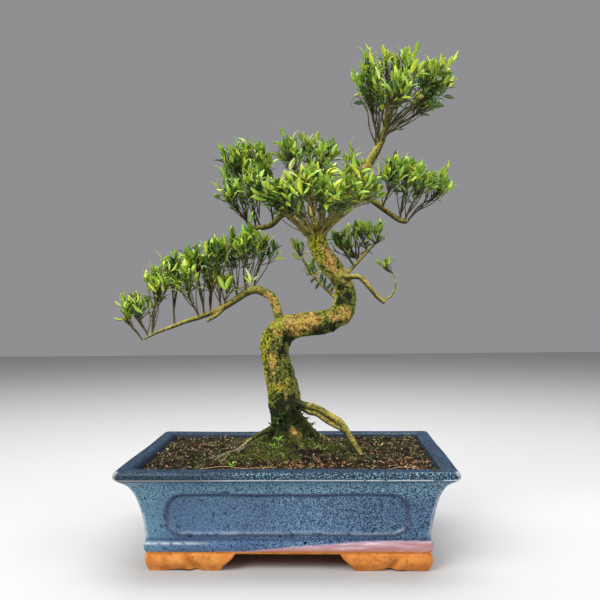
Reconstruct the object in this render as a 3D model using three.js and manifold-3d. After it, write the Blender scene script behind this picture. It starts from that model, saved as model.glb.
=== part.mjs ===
// A brush cherry bonsai in its glazed pot: an S-shaped trunk with surface roots, its limbs and their leafy
// sprays, soil, and a flared rectangular pot on four corner feet. Millimetres, +Z up, X along the pot's long
// side, the front at -Y, and the origin on the ground under the middle of the pot.
import * as THREE from "three";
import { mergeVertices } from "three/addons/utils/BufferGeometryUtils.js";
import Module from "manifold-3d";

const wasm = await Module();
wasm.setup();

// Pot
const potHalfWidth = 178;
const potHalfDepth = 125;
const potHeight = 110;
const rimWidth = 18;
const wallThickness = 8;
const footHeight = 19;
const footDepth = 16;
const footInset = 28;
const floorTop = footHeight + wallThickness;
const cornerRadius = 6;
const panel = { halfWidth: 128, halfWidthAtEnds: 74, bottom: 39, top: 83, radius: 19, recess: 2.5 };
const drainRadius = 9;
const drainX = 80;
// The mesh that lies over each drain hole
const meshSide = 28;
const meshThickness = 1.2;
const meshHoles = 3;
const meshBar = 2;
// Soil
const soilEdge = 104;
const moundRise = 19;
const moundWidth = 54;
const moundDepth = 44;
const moundShift = -8;
const fitGap = 0.3;
// Leaves and shoots
const leafLength = 21;
const leafHalfWidth = 4.4;
const leafThickness = 1.8;
const leafSink = 0.2;
const leafFold = 1;
const leafDroop = 2.5;
const leafSpacing = 7;
const leafBelowTip = 2.4;
const stemRadius = 1.5;
const straightStem = 36;
const shootRadius = 1.15;
const sideRadius = 0.85;
const clearance = 0.4;

// Each wooden limb is a list of stations: x, y, z and radius
const trunkLine = [
  [0, 0, 98, 24], [0, 0, 112, 23], [0, 0, 122, 21.5], [-4, 0, 140, 18.5], [-6, 0, 156, 17.8],
  [-8, 0, 171, 18.6], [-11, 0, 189, 17.2], [-15, 0, 207, 16], [-17, -1, 225, 16], [-14, -2, 241, 16.5],
  [-4, -3, 251, 15.5], [9, -4, 255, 14.2], [24, -4, 257, 13.6], [38, -4, 258, 13.2], [51, -3, 262, 13],
  [61, -2, 269, 12.8], [65, 0, 279, 12.2], [66, 1, 291, 11.6], [63, 2, 304, 11.3], [58, 2, 313, 11.4],
  [50, 2, 324, 11.6], [40, 2, 338, 11.3], [35, 2, 348, 11], [33, 2, 359, 11.2], [36, 3, 367, 9.5],
  [43, 4, 374, 7.5], [54, 6, 382, 6], [67, 10, 398, 5.6], [82, 12, 422, 5.6], [93, 12, 443, 5.5],
  [104, 12, 460, 4.8], [113, 12, 478, 3.9], [117, 12, 493, 3.1], [119, 12, 516, 2.2], [120, 13, 530, 1.4],
];
const limbLines = {
  left: [
    [-8, 0, 250, 6], [-12, -4, 264, 5.4], [-16, -6, 278, 5.3], [-21, -8, 289, 5.2], [-31, -10, 295, 5],
    [-40, -10, 297, 4.6], [-51, -12, 293, 4.2], [-62, -14, 286, 4], [-73, -16, 279, 3.7],
    [-84, -18, 273, 3.3], [-95, -20, 269, 3], [-106, -20, 265, 2.7], [-120, -20, 261, 2.4],
    [-133, -20, 256, 2.1], [-147, -20, 251, 1.8], [-159, -20, 246, 1.5], [-171, -20, 240, 1],
  ],
  left_stub: [[-74, -16, 278, 2.6], [-84, -20, 268, 2.3], [-95, -23, 261, 1.7]],
  crown_left: [
    [30, 2, 362, 7], [19, 15, 369, 5], [5, 25, 384, 4.4], [-8, 30, 391, 4], [-24, 28, 377, 3.5],
    [-43, 25, 374, 2.6], [-54, 24, 382, 1.6],
  ],
  crown_back: [
    [34, 4, 362, 6], [30, 22, 380, 4.2], [25, 34, 405, 3.2], [22, 40, 430, 2.3], [20, 42, 446, 1.5],
  ],
  right: [
    [60, 8, 390, 4.5], [67, 11, 398, 4.2], [83, 14, 408, 3.5], [97, 16, 405, 3.2], [118, 18, 390, 3.1],
    [134, 18, 379, 2.9], [143, 18, 378, 2.1],
  ],
  low_right: [
    [60, -2, 311, 4.4], [72, -8, 311, 3.3], [83, -14, 310, 3], [94, -16, 298, 2.8], [103, -16, 287, 2.6],
    [111, -16, 280, 2.3],
  ],
  curl: [
    [108, -16, 283, 1.3], [118, -15, 288, 1.2], [123, -13, 297, 1.1], [124, -12, 306, 1],
    [121, -10, 315, 0.9],
  ],
  back_right: [
    [60, 4, 312, 3.4], [69, 14, 317, 2.6], [75, 24, 323, 2.3], [90, 30, 339, 1.9], [104, 34, 353, 1.3],
  ],
  back_left: [
    [60, 4, 284, 3.2], [52, 14, 290, 2.3], [34, 24, 308, 1.9], [21, 30, 324, 1.5], [14, 34, 340, 1.1],
  ],
};
const rootLines = [
  [
    [0, -4, 168, 7], [12, -12, 163, 4.6], [28, -16, 160, 4.2], [37, -18, 156, 4], [49, -20, 149, 4],
    [58, -22, 143, 4.2], [64, -24, 135, 4], [70, -26, 125, 3.5], [76, -28, 116, 3], [82, -30, 106, 2.5],
    [85, -31, 97, 2],
  ],
  [[12, -12, 160, 3], [22, -17, 154, 2.3], [31, -19, 152, 2.2], [43, -21, 144, 2.2], [62, -24, 134, 2]],
  [
    [2, -12, 164, 3], [6, -17, 158, 2], [15, -20, 149, 1.7], [23, -22, 140, 1.5], [30, -23, 128, 1.4],
    [34, -24, 114, 1.2],
  ],
  [
    [-10, -2, 146, 8], [-21, -9, 135, 4.4], [-31, -12, 131, 2.9], [-43, -16, 125, 2.1],
    [-52, -22, 119, 1.8], [-60, -29, 114, 1.5], [-70, -37, 108, 1.3], [-84, -46, 102, 1.1],
  ],
  [[-6, 4, 138, 12], [-18, 20, 125, 7], [-30, 34, 116, 4], [-42, 46, 106, 2]],
  [[4, 4, 138, 12], [22, 20, 125, 6.5], [38, 32, 115, 4], [52, 44, 104, 2]],
  [[2, -4, 136, 12], [8, -20, 124, 6.5], [14, -36, 117, 3.6], [22, -52, 107, 1.8]],
  [[-4, 0, 134, 13], [-24, 3, 122, 7.5], [-42, 6, 115, 4], [-60, 8, 104, 2]],
];

// Each leafy spray has a name, the limb that it grows from, the station there, its crown (the middle of its
// foliage), how far the foliage reaches from that middle, and its number of shoots
const sprays = [
  ["left_tip", "left", 16, [-192, -27, 275], [8, 9, 9], 1],
  ["left_end", "left", 15.4, [-179, -10, 283], [13, 12, 12], 2],
  ["left_outer", "left", 15, [-149, -36, 309], [12, 12, 16], 2],
  ["left_outer_back", "left", 13, [-139, -4, 326], [11, 12, 14], 1],
  ["left_middle", "left", 10.8, [-115, -42, 311], [13, 12, 15], 2],
  ["left_middle_top", "left", 10.3, [-109, -14, 336], [13, 12, 14], 2],
  ["left_middle_back", "left", 9.6, [-94, 6, 318], [13, 12, 16], 2],
  ["left_inner", "left", 8.6, [-81, -40, 343], [13, 12, 14], 2],
  ["left_low", "left", 8.1, [-70, -28, 303], [9, 9, 8], 1],
  ["left_inner_back", "left", 6.8, [-69, -2, 353], [13, 13, 13], 2],
  ["left_top", "left", 5.9, [-48, -30, 352], [13, 13, 13], 2],
  ["left_top_back", "left", 5.1, [-31, 6, 351], [14, 12, 12], 2],
  ["apex_left", "trunk", 30.6, [97, -4, 541], [17, 15, 26], 3],
  ["apex_top", "trunk", 33.8, [120, 28, 571], [18, 16, 23], 3],
  ["apex_middle", "trunk", 33, [143, 0, 560], [18, 16, 20], 3],
  ["apex_right", "trunk", 31.6, [177, 12, 549], [18, 17, 22], 3],
  ["apex_right_low", "trunk", 31, [166, 30, 528], [15, 13, 11], 2],
  ["apex_back", "trunk", 32.2, [132, 52, 548], [17, 14, 17], 3],
  ["apex_front", "trunk", 31.9, [130, -30, 529], [16, 13, 15], 3],
  ["right_inner", "right", 3.7, [121, -2, 434], [13, 12, 17], 2],
  ["right_top", "right", 4.9, [141, 26, 441], [16, 14, 17], 3],
  ["right_front", "right", 5.4, [154, -8, 427], [13, 12, 16], 2],
  ["right_outer", "right", 5.9, [181, 16, 425], [12, 12, 14], 2],
  ["front_far_left", "trunk", 22.7, [-21, -42, 409], [15, 13, 14], 2],
  ["front_left", "trunk", 23.1, [3, -62, 407], [16, 13, 15], 3],
  ["front_middle", "trunk", 23.4, [25, -76, 410], [16, 13, 15], 3],
  ["front_right", "trunk", 23.7, [47, -64, 403], [16, 13, 15], 3],
  ["front_far_right", "trunk", 24.4, [70, -48, 410], [16, 14, 16], 3],
  ["front_end", "trunk", 25.6, [92, -30, 412], [14, 12, 13], 2],
  ["front_leader", "trunk", 27.6, [75, -22, 437], [12, 12, 14], 2],
  ["front_high", "trunk", 24.9, [37, -30, 431], [16, 14, 13], 3],
  ["top_left", "crown_back", 2.6, [0, 22, 467], [16, 14, 17], 3],
  ["top_middle", "crown_back", 3.8, [23, 48, 474], [16, 15, 17], 3],
  ["top_right", "crown_back", 3.2, [46, 18, 463], [13, 12, 16], 2],
  ["top_back", "crown_back", 2.2, [37, 72, 446], [16, 13, 14], 3],
  ["crown_left_outer", "crown_left", 5.9, [-67, 32, 456], [14, 13, 21], 2],
  ["crown_left_top", "crown_left", 4.6, [-50, 56, 470], [15, 13, 19], 2],
  ["crown_left_inner", "crown_left", 3.8, [-32, 12, 453], [13, 12, 17], 2],
  ["crown_left_low", "crown_left", 5.5, [-70, 2, 416], [13, 12, 13], 2],
  ["crown_left_front", "crown_left", 4.9, [-43, -12, 424], [14, 13, 15], 2],
  ["back_right_inner", "back_right", 2.6, [67, 46, 361], [14, 12, 11], 2],
  ["back_right_top", "back_right", 3.3, [90, 54, 373], [11, 11, 10], 1],
  ["back_right_end", "back_right", 4, [108, 30, 366], [9, 9, 11], 1],
  ["back_left_end", "back_left", 4, [11, 36, 350], [9, 9, 11], 1],
  ["back_left_low", "back_left", 2.4, [26, 44, 325], [8, 9, 8], 1],
  ["curl_tip", "curl", 4, [114, -8, 325], [6, 6, 6], 1],
].map(([name, limb, at, crown, reach, shoots]) => ({ name, limb, at, crown, reach, shoots }));

// A small seeded generator, so that every build grows the same tree
function drawer(seed) {
  let state = seed;
  return () => {
    state = (state * 1664525 + 1013904223) % 4294967296;
    return state / 4294967296;
  };
}

function solidFrom(geometry) {
  geometry.deleteAttribute("normal");
  geometry.deleteAttribute("uv");
  const merged = mergeVertices(geometry, 1e-4);
  return new wasm.Manifold(
    new wasm.Mesh({
      numProp: 3,
      vertProperties: merged.attributes.position.array,
      triVerts: new Uint32Array(merged.index.array),
    }),
  );
}

function geometryFrom(solid) {
  const mesh = solid.getMesh();
  return new THREE.BufferGeometry()
    .setAttribute("position", new THREE.BufferAttribute(mesh.vertProperties, 3))
    .setIndex(new THREE.BufferAttribute(mesh.triVerts, 1));
}

const joined = (solids) => solids.reduce((all, one) => all.add(one));

// A closed stack of rings: place(corner, row) gives a point of a ring, and place(null, row) the middle of an
// end that closes the stack
function ringed(around, rows, place) {
  const geometry = new THREE.CylinderGeometry(1, 1, 1, around, rows);
  const position = geometry.attributes.position;
  for (let i = 0; i < position.count; i++) {
    const [x, y, z] = [position.getX(i), position.getY(i), position.getZ(i)];
    const corner = Math.round((Math.atan2(x, z) / (2 * Math.PI) + 1) * around) % around;
    const row = Math.round((y + 0.5) * rows);
    const onRing = Math.hypot(x, z) > 0.5;
    position.setXYZ(i, ...place(onRing ? corner : null, row));
  }
  return solidFrom(geometry);
}

// Pot: rounded rectangles stacked by level, each [inset from the rim's edge, height]
const cornerSteps = 3;
function stacked(levels, grow = 0, radius = cornerRadius) {
  const perCorner = cornerSteps + 1;
  return ringed(4 * perCorner, levels.length - 1, (corner, row) => {
    const [inset, z] = levels[row];
    if (corner === null) return [0, 0, z];
    const quarter = Math.floor(corner / perCorner);
    const angle = ((quarter + (corner % perCorner) / cornerSteps) * Math.PI) / 2;
    const sideX = quarter === 0 || quarter === 3 ? 1 : -1;
    const sideY = quarter < 2 ? 1 : -1;
    const x = sideX * (potHalfWidth - inset + grow - radius) + radius * Math.cos(angle);
    const y = sideY * (potHalfDepth - inset + grow - radius) + radius * Math.sin(angle);
    return [x, y, z];
  });
}

const outerLevels = [
  [28, footHeight - 1], [26, footHeight + 3.5], [25.6, footHeight + 9], [27.8, footHeight + 14.5],
  [24.8, 56], [21.4, 71], [17.1, 83.3], [11.8, 92], [5.1, 97.5], [1.3, 100.8], [0, 104], [0.6, 107.5],
  [3, potHeight],
];
const innerLevels = [
  [footInset + wallThickness + 2, floorTop], [footInset + wallThickness, floorTop + 6], [32, 64], [25, 88],
  [rimWidth, potHeight - 2], [rimWidth - 2, potHeight], [rimWidth - 2, potHeight + 5],
];

const prism = (shape, length, turned) => {
  const settings = { depth: length, bevelEnabled: false, curveSegments: 4 };
  const geometry = new THREE.ExtrudeGeometry(shape, settings);
  geometry.translate(0, 0, -length / 2);
  geometry.rotateX(Math.PI / 2);
  if (turned) geometry.rotateZ(Math.PI / 2);
  return solidFrom(geometry);
};

// The arch between two feet, seen from one side of the pot
function archShape(halfAtGround, halfAtTop) {
  const shape = new THREE.Shape();
  shape.moveTo(-halfAtGround, -1);
  shape.lineTo(-halfAtGround, 0.4);
  shape.bezierCurveTo(-halfAtGround + 10, 3, -halfAtTop - 8, footHeight - 3, -halfAtTop, footHeight);
  shape.lineTo(halfAtTop, footHeight);
  shape.bezierCurveTo(halfAtTop + 8, footHeight - 3, halfAtGround - 10, 3, halfAtGround, 0.4);
  shape.lineTo(halfAtGround, -1);
  shape.closePath();
  return shape;
}

// The shallow scallop under each foot's middle
function scallopShape(from, to) {
  const shape = new THREE.Shape();
  shape.moveTo(from, -1);
  shape.lineTo(from, 0);
  shape.quadraticCurveTo((from + to) / 2, 3.4, to, 0);
  shape.lineTo(to, -1);
  shape.closePath();
  return shape;
}

function panelShape(halfWidth) {
  const { bottom, top, radius } = panel;
  const shape = new THREE.Shape();
  shape.moveTo(-halfWidth + radius, bottom);
  shape.lineTo(halfWidth - radius, bottom);
  shape.quadraticCurveTo(halfWidth, bottom, halfWidth, bottom + radius);
  shape.lineTo(halfWidth, top - radius);
  shape.quadraticCurveTo(halfWidth, top, halfWidth - radius, top);
  shape.lineTo(-halfWidth + radius, top);
  shape.quadraticCurveTo(-halfWidth, top, -halfWidth, top - radius);
  shape.lineTo(-halfWidth, bottom + radius);
  shape.quadraticCurveTo(-halfWidth, bottom, -halfWidth + radius, bottom);
  return shape;
}

function makePot() {
  const long = 2 * potHalfWidth + 20;
  const footLevels = [[footInset + 1.5, 0], [footInset + 0.3, 3], [footInset, footHeight - 0.5]];
  const underLevels = [[footInset + footDepth, -1], [footInset + footDepth, footHeight]];
  const feet = stacked(footLevels)
    .subtract(stacked(underLevels))
    .subtract(prism(archShape(71, 55), long, false))
    .subtract(prism(archShape(46, 32), long, true))
    .subtract(prism(scallopShape(86, 136), long, false))
    .subtract(prism(scallopShape(-136, -86), long, false));
  const skin = stacked([[-30, 0], [-30, potHeight]]).subtract(stacked(outerLevels, -panel.recess));
  const front = prism(panelShape(panel.halfWidth), long, false);
  const recess = front.add(prism(panelShape(panel.halfWidthAtEnds), long, true));
  let pot = stacked(outerLevels).add(feet).subtract(stacked(innerLevels)).subtract(recess.intersect(skin));
  for (const side of [-1, 1]) {
    const drain = new THREE.CylinderGeometry(drainRadius, drainRadius, 3 * wallThickness, 16);
    drain.rotateX(Math.PI / 2).translate(side * drainX, 0, footHeight + wallThickness / 2);
    pot = pot.subtract(solidFrom(drain));
  }
  return pot;
}

// Drain mesh: a square plate with a grid of square holes, with its underside at z = 0
function makeDrainMesh() {
  const hole = (meshSide - meshBar * (meshHoles + 1)) / meshHoles;
  const middle = meshThickness / 2;
  let plate = solidFrom(new THREE.BoxGeometry(meshSide, meshSide, meshThickness).translate(0, 0, middle));
  for (let i = 0; i < meshHoles; i++)
    for (let j = 0; j < meshHoles; j++) {
      const x = (i - (meshHoles - 1) / 2) * (hole + meshBar);
      const y = (j - (meshHoles - 1) / 2) * (hole + meshBar);
      const cut = new THREE.BoxGeometry(hole, hole, 2 * meshThickness).translate(x, y, middle);
      plate = plate.subtract(solidFrom(cut));
    }
  return plate;
}

// Wood: a limb is a bent cylinder along a smooth curve through its stations
class Limb {
  constructor(stations, side = [0, 1, 0]) {
    this.last = stations.length - 1;
    this.side = new THREE.Vector3(...side);
    const smooth = (points) => new THREE.CatmullRomCurve3(points, false, "catmullrom", 0.5);
    this.line = smooth(stations.map(([x, y, z]) => new THREE.Vector3(x, y, z)));
    this.girth = smooth(stations.map(([, , , r]) => new THREE.Vector3(r, 0, 0)));
  }

  point(station) {
    return this.line.getPoint(station / this.last);
  }

  solid(sides, rows, grow = 0, lumps = 0) {
    return ringed(sides, rows, (corner, row) => {
      const middle = this.line.getPoint(row / rows);
      if (corner === null) return middle.toArray();
      const [right, back] = across(this.line.getTangent(row / rows), this.side);
      const angle = (2 * Math.PI * corner) / sides;
      const around = Math.sin(3 * angle + 0.9 * row) + 0.7 * Math.sin(5 * angle - 0.6 * row);
      const wave = around + 0.8 * Math.sin(1.7 * row);
      const radius = this.girth.getPoint(row / rows).x * (1 + lumps * wave) + grow;
      middle.addScaledVector(right, radius * Math.cos(angle));
      return middle.addScaledVector(back, radius * Math.sin(angle)).toArray();
    });
  }
}

// Two directions square to the way ahead, the first as near as it can be to the given side
function across(ahead, side) {
  const right = side.clone().addScaledVector(ahead, -side.dot(ahead)).normalize();
  return [right, new THREE.Vector3().crossVectors(ahead, right)];
}

const trunk = new Limb(trunkLine);
const limbs = { trunk };
for (const [name, stations] of Object.entries(limbLines)) limbs[name] = new Limb(stations);

function makeWood(grow = 0) {
  const parts = [trunk.solid(10, 42, grow, 0.03)];
  for (const limb of Object.values(limbs).slice(1)) {
    parts.push(limb.solid(5, Math.ceil(1.3 * limb.last), grow));
  }
  for (const stations of rootLines) {
    const root = new Limb(stations);
    parts.push(root.solid(5, Math.ceil(1.2 * root.last), grow));
  }
  return joined(parts);
}

// Soil: the pot's inside below a lumpy mound, with a plain hole where the trunk and its roots go in
function makeSoil(wood) {
  const [cellsX, cellsY] = [20, 14];
  const top = new THREE.BoxGeometry(2 * potHalfWidth, 2 * potHalfDepth, potHeight, cellsX, cellsY, 1);
  const position = top.attributes.position;
  for (let i = 0; i < position.count; i++) {
    const [x, y] = [position.getX(i), position.getY(i)];
    const away = (x / moundWidth) ** 2 + ((y - moundShift) / moundDepth) ** 2;
    const mound = moundRise * Math.exp(-away / 2);
    const waves = 0.9 * Math.sin(0.19 * x + 0.11 * y) + 0.8 * Math.sin(0.13 * x - 0.23 * y);
    const lumps = waves + 0.6 * Math.sin(0.37 * y);
    position.setZ(i, position.getZ(i) > 0 ? soilEdge + mound + lumps : 0);
  }
  const bottom = floorTop + meshThickness + 2 * fitGap;
  const inside = stacked(innerLevels, -fitGap).trimByPlane([0, 0, 1], bottom);
  return solidFrom(top).intersect(inside).subtract(wood);
}

// A leaf grows along +X from its root: six corners round its edge, and a rib above and below its middle
function leaf(size, grow = 0) {
  const geometry = new THREE.SphereGeometry(1, 6, 2).rotateX(Math.PI / 2);
  const position = geometry.attributes.position;
  for (let i = 0; i < position.count; i++) {
    const [x, y, z] = [position.getX(i), position.getY(i), position.getZ(i)];
    const onRib = Math.abs(z) > 0.5;
    const out = onRib ? 0.42 : x > 0.9 ? 1 : x > 0 ? 0.62 : x > -0.9 ? 0.3 : 0;
    const wide = Math.sign(Math.round(y * 10)) * (x > 0 ? 1 : 0.68) * (leafHalfWidth * size + grow);
    const lift = onRib ? Math.sign(z) * (leafThickness / 2 + grow) : leafFold * Math.abs(y);
    const long = out * (leafLength * size + grow) - leafSink;
    position.setXYZ(i, long, wide, lift - leafDroop * size * out ** 2);
  }
  return solidFrom(geometry);
}

// A leaf's +X points out through one of its shoot's four faces, raised towards the way the shoot grows
function seated(solid, place, ahead, side, face, rise) {
  const [right, back] = across(ahead, side);
  const angle = Math.PI / 4 + (face * Math.PI) / 2;
  const out = right.multiplyScalar(Math.cos(angle)).addScaledVector(back, Math.sin(angle));
  const along = out.clone().multiplyScalar(Math.cos(rise)).addScaledVector(ahead, Math.sin(rise));
  const upper = ahead.clone().multiplyScalar(Math.cos(rise)).addScaledVector(out, -Math.sin(rise));
  const matrix = new THREE.Matrix4();
  matrix.makeBasis(along, upper.clone().cross(along), upper).setPosition(place);
  return solid.transform(matrix.elements);
}

const stationOf = (point, radius) => [...point.toArray(), radius];
const higher = (point, rise) => new THREE.Vector3(point.x, point.y, point.z + rise);

// A spray is a stem from its limb into its crown, with side shoots, and its leaves sit on each shoot's end
function planSpray(spray, index) {
  const draw = drawer(1000 + 7 * index);
  const foot = limbs[spray.limb].point(spray.at);
  const crown = new THREE.Vector3(...spray.crown);
  const [reachX, reachY, reachZ] = spray.reach;
  const fork = higher(crown, -0.75 * reachZ - 3).lerp(foot, 0.1);
  const bend = higher(foot.clone().lerp(fork, 0.5), 0.06 * foot.distanceTo(fork));
  const tip = higher(crown, Math.max(reachZ - 10, 2));
  const turn = 6.28 * draw();
  const stem = [stationOf(foot, stemRadius)];
  if (foot.distanceTo(fork) > straightStem) stem.push(stationOf(bend, stemRadius));
  stem.push(stationOf(fork, shootRadius * 1.1), stationOf(tip, shootRadius));
  const ends = [{ stations: stem, from: fork, tip, levels: 3 }];
  for (let i = 1; i < spray.shoots; i++) {
    const angle = turn + 2.4 * i;
    const from = bend.clone().lerp(fork, 0.55 + 0.3 * draw());
    const sideTip = higher(crown, reachZ * (0.1 - 0.25 * i));
    sideTip.x += Math.cos(angle) * (reachX - 5);
    sideTip.y += Math.sin(angle) * (reachY - 5);
    const stations = [stationOf(from, sideRadius), stationOf(sideTip, sideRadius)];
    ends.push({ stations, from, tip: sideTip, levels: 4 - spray.shoots });
  }
  const shoots = ends.map((end) => {
    const spin = 3.14 * draw();
    const side = [Math.cos(spin), Math.sin(spin), 0];
    return { ...end, limb: new Limb(end.stations, side), side: new THREE.Vector3(...side) };
  });
  return { name: spray.name, shoots, parts: [] };
}

// Each piece is kept only where it is clear of the others, and a leaf is raised or lowered a little to be so
function makeSprays(grownWood) {
  const placed = [];
  const boxOf = (solid) => {
    const { min, max } = solid.boundingBox();
    return new THREE.Box3(new THREE.Vector3(...min), new THREE.Vector3(...max));
  };
  const clear = (solid, mayTouch) => {
    const box = boxOf(solid);
    const near = placed.filter((other) => !mayTouch(other) && other.box.intersectsBox(box));
    return near.every((other) => solid.intersect(other.solid).isEmpty());
  };
  const take = (plan, group, solid) => {
    placed.push({ plan, group, solid, box: boxOf(solid) });
    plan.parts.push(solid);
  };
  const plans = sprays.map(planSpray);
  for (const plan of plans)
    for (const shoot of plan.shoots) {
      const { limb } = shoot;
      const grown = limb.solid(4, limb.last, clearance).subtract(grownWood);
      shoot.kept = clear(grown, (other) => other.plan === plan);
      if (shoot.kept) take(plan, shoot, limb.solid(4, limb.last).subtract(grownWood));
    }
  placed.push({ solid: grownWood, box: boxOf(grownWood) });
  for (const [level, size, rise] of [[0, 0.88, 0.75], [1, 1, 0.6], [2, 0.95, 0.42]])
    for (const plan of plans)
      for (const shoot of plan.shoots.filter((one) => one.kept && level < one.levels)) {
        const length = shoot.from.distanceTo(shoot.tip);
        const down = leafBelowTip + level * leafSpacing;
        if (down > length - 2) continue;
        const place = shoot.tip.clone().lerp(shoot.from, down / length);
        const ahead = shoot.tip.clone().sub(shoot.from).normalize();
        const pair = {};
        for (const face of [level, level + 2])
          for (const nudge of [0, 0.25, -0.25]) {
            const grown = seated(leaf(size, clearance), place, ahead, shoot.side, face, rise + nudge);
            if (!clear(grown, (other) => other.group === shoot || other.group === pair)) continue;
            take(plan, pair, seated(leaf(size), place, ahead, shoot.side, face, rise + nudge));
            break;
          }
      }
  return plans.map((plan) => ({ name: plan.name, solid: joined(plan.parts) }));
}

const finish = {
  glaze: new THREE.MeshStandardMaterial({ color: 0x3f5f80, roughness: 0.25, metalness: 0 }),
  soil: new THREE.MeshStandardMaterial({ color: 0x4a3423, roughness: 0.95, metalness: 0 }),
  bark: new THREE.MeshStandardMaterial({ color: 0x75692e, roughness: 0.85, metalness: 0 }),
  leaf: new THREE.MeshStandardMaterial({ color: 0x5f9a2b, roughness: 0.4, metalness: 0 }),
  mesh: new THREE.MeshStandardMaterial({ color: 0x1c1c1c, roughness: 0.6, metalness: 0 }),
};

const bonsai = new THREE.Group();
function add(group, name, solid, material) {
  const mesh = new THREE.Mesh(geometryFrom(solid), material);
  mesh.name = name;
  group.add(mesh);
  return mesh;
}

const wood = makeWood();
const grownWood = makeWood(fitGap);

const container = new THREE.Group();
add(container, "pot", makePot(), finish.glaze);
for (const [name, side] of [["drain_mesh_left", -1], ["drain_mesh_right", 1]]) {
  const screen = add(container, name, makeDrainMesh(), finish.mesh);
  screen.position.set(side * drainX, 0, floorTop + fitGap);
}
add(container, "soil", makeSoil(grownWood), finish.soil);

const tree = new THREE.Group();
add(tree, "trunk", wood, finish.bark);
for (const spray of makeSprays(grownWood)) add(tree, `spray_${spray.name}`, spray.solid, finish.leaf);

bonsai.add(container, tree);

export default bonsai;
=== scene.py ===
from math import cos, pi, radians, sin
import bpy
import numpy as np
from mathutils import Matrix, Vector, kdtree, noise


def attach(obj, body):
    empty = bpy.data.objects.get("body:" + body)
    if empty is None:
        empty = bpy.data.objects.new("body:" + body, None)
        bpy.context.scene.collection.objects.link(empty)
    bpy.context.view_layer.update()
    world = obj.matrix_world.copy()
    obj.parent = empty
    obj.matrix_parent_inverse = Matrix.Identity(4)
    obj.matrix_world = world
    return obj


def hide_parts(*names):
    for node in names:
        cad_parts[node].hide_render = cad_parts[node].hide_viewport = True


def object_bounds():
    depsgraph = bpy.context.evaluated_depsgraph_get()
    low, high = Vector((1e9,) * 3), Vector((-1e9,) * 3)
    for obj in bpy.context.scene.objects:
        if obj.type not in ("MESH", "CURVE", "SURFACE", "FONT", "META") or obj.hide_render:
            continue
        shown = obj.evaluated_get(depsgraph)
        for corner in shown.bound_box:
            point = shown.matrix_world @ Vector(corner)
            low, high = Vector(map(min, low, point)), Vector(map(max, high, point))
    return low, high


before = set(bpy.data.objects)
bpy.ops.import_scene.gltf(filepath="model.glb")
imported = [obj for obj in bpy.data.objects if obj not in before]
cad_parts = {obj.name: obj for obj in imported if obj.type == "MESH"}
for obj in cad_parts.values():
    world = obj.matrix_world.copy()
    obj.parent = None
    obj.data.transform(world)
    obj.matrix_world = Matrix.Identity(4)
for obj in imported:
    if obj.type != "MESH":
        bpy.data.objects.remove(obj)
cad_low, cad_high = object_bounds()


# Glazed pot. One piece of fired stoneware: a flared rectangular body with a rounded lip, a sunk panel on each
# side and a bead above its four corner feet. It was pressed in a mould, its feet were trimmed by hand, and it
# was dipped upside down in a speckled blue glaze that stops at the foot line.
MM = 0.001


class Amount:
    """A number that varies over a surface. Python arithmetic on it adds Math nodes to its tree."""

    def __init__(self, tree, socket):
        self.tree = tree
        self.socket = socket

    def maths(self, operation, *others):
        values = dict(enumerate((self, *others)))
        step = add_node(self.tree, "ShaderNodeMath", {"operation": operation}, values)
        return Amount(self.tree, step.outputs[0])

    def __add__(self, other):
        return self.maths("ADD", other)

    def __sub__(self, other):
        return self.maths("SUBTRACT", other)

    def __rsub__(self, other):
        return self.maths("MULTIPLY", -1.0).maths("ADD", other)

    def __mul__(self, other):
        return self.maths("MULTIPLY", other)

    __radd__ = __add__
    __rmul__ = __mul__

    def between(self, low, high):
        """0 below low, 1 above high, and smooth between them; low may be the larger."""
        values = {0: self, 1: low, 2: high, 3: 0.0, 4: 1.0}
        settings = {"interpolation_type": "SMOOTHSTEP", "clamp": True}
        return Amount(self.tree, add_node(self.tree, "ShaderNodeMapRange", settings, values).outputs[0])


def plug(tree, socket, value):
    value = value.socket if isinstance(value, Amount) else value
    if isinstance(value, bpy.types.NodeSocket):
        tree.links.new(value, socket)
    elif socket.type == "RGBA" and len(value) == 3:
        socket.default_value = (*value, 1.0)
    else:
        socket.default_value = value


def add_node(tree, kind, settings=None, values=None):
    """Adds one node: its settings first, then the values or links of its sockets."""
    node = tree.nodes.new(kind)
    for name, value in (settings or {}).items():
        setattr(node, name, value)
    for name, value in (values or {}).items():
        plug(tree, node.inputs[name], value)
    return node


class NodeTree:
    """A tree of nodes, behind a surface finish or behind a rule that makes a shape."""

    def node(self, kind, settings=None, values=None, out=0):
        return Amount(self.tree, add_node(self.tree, kind, settings, values).outputs[out])


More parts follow.
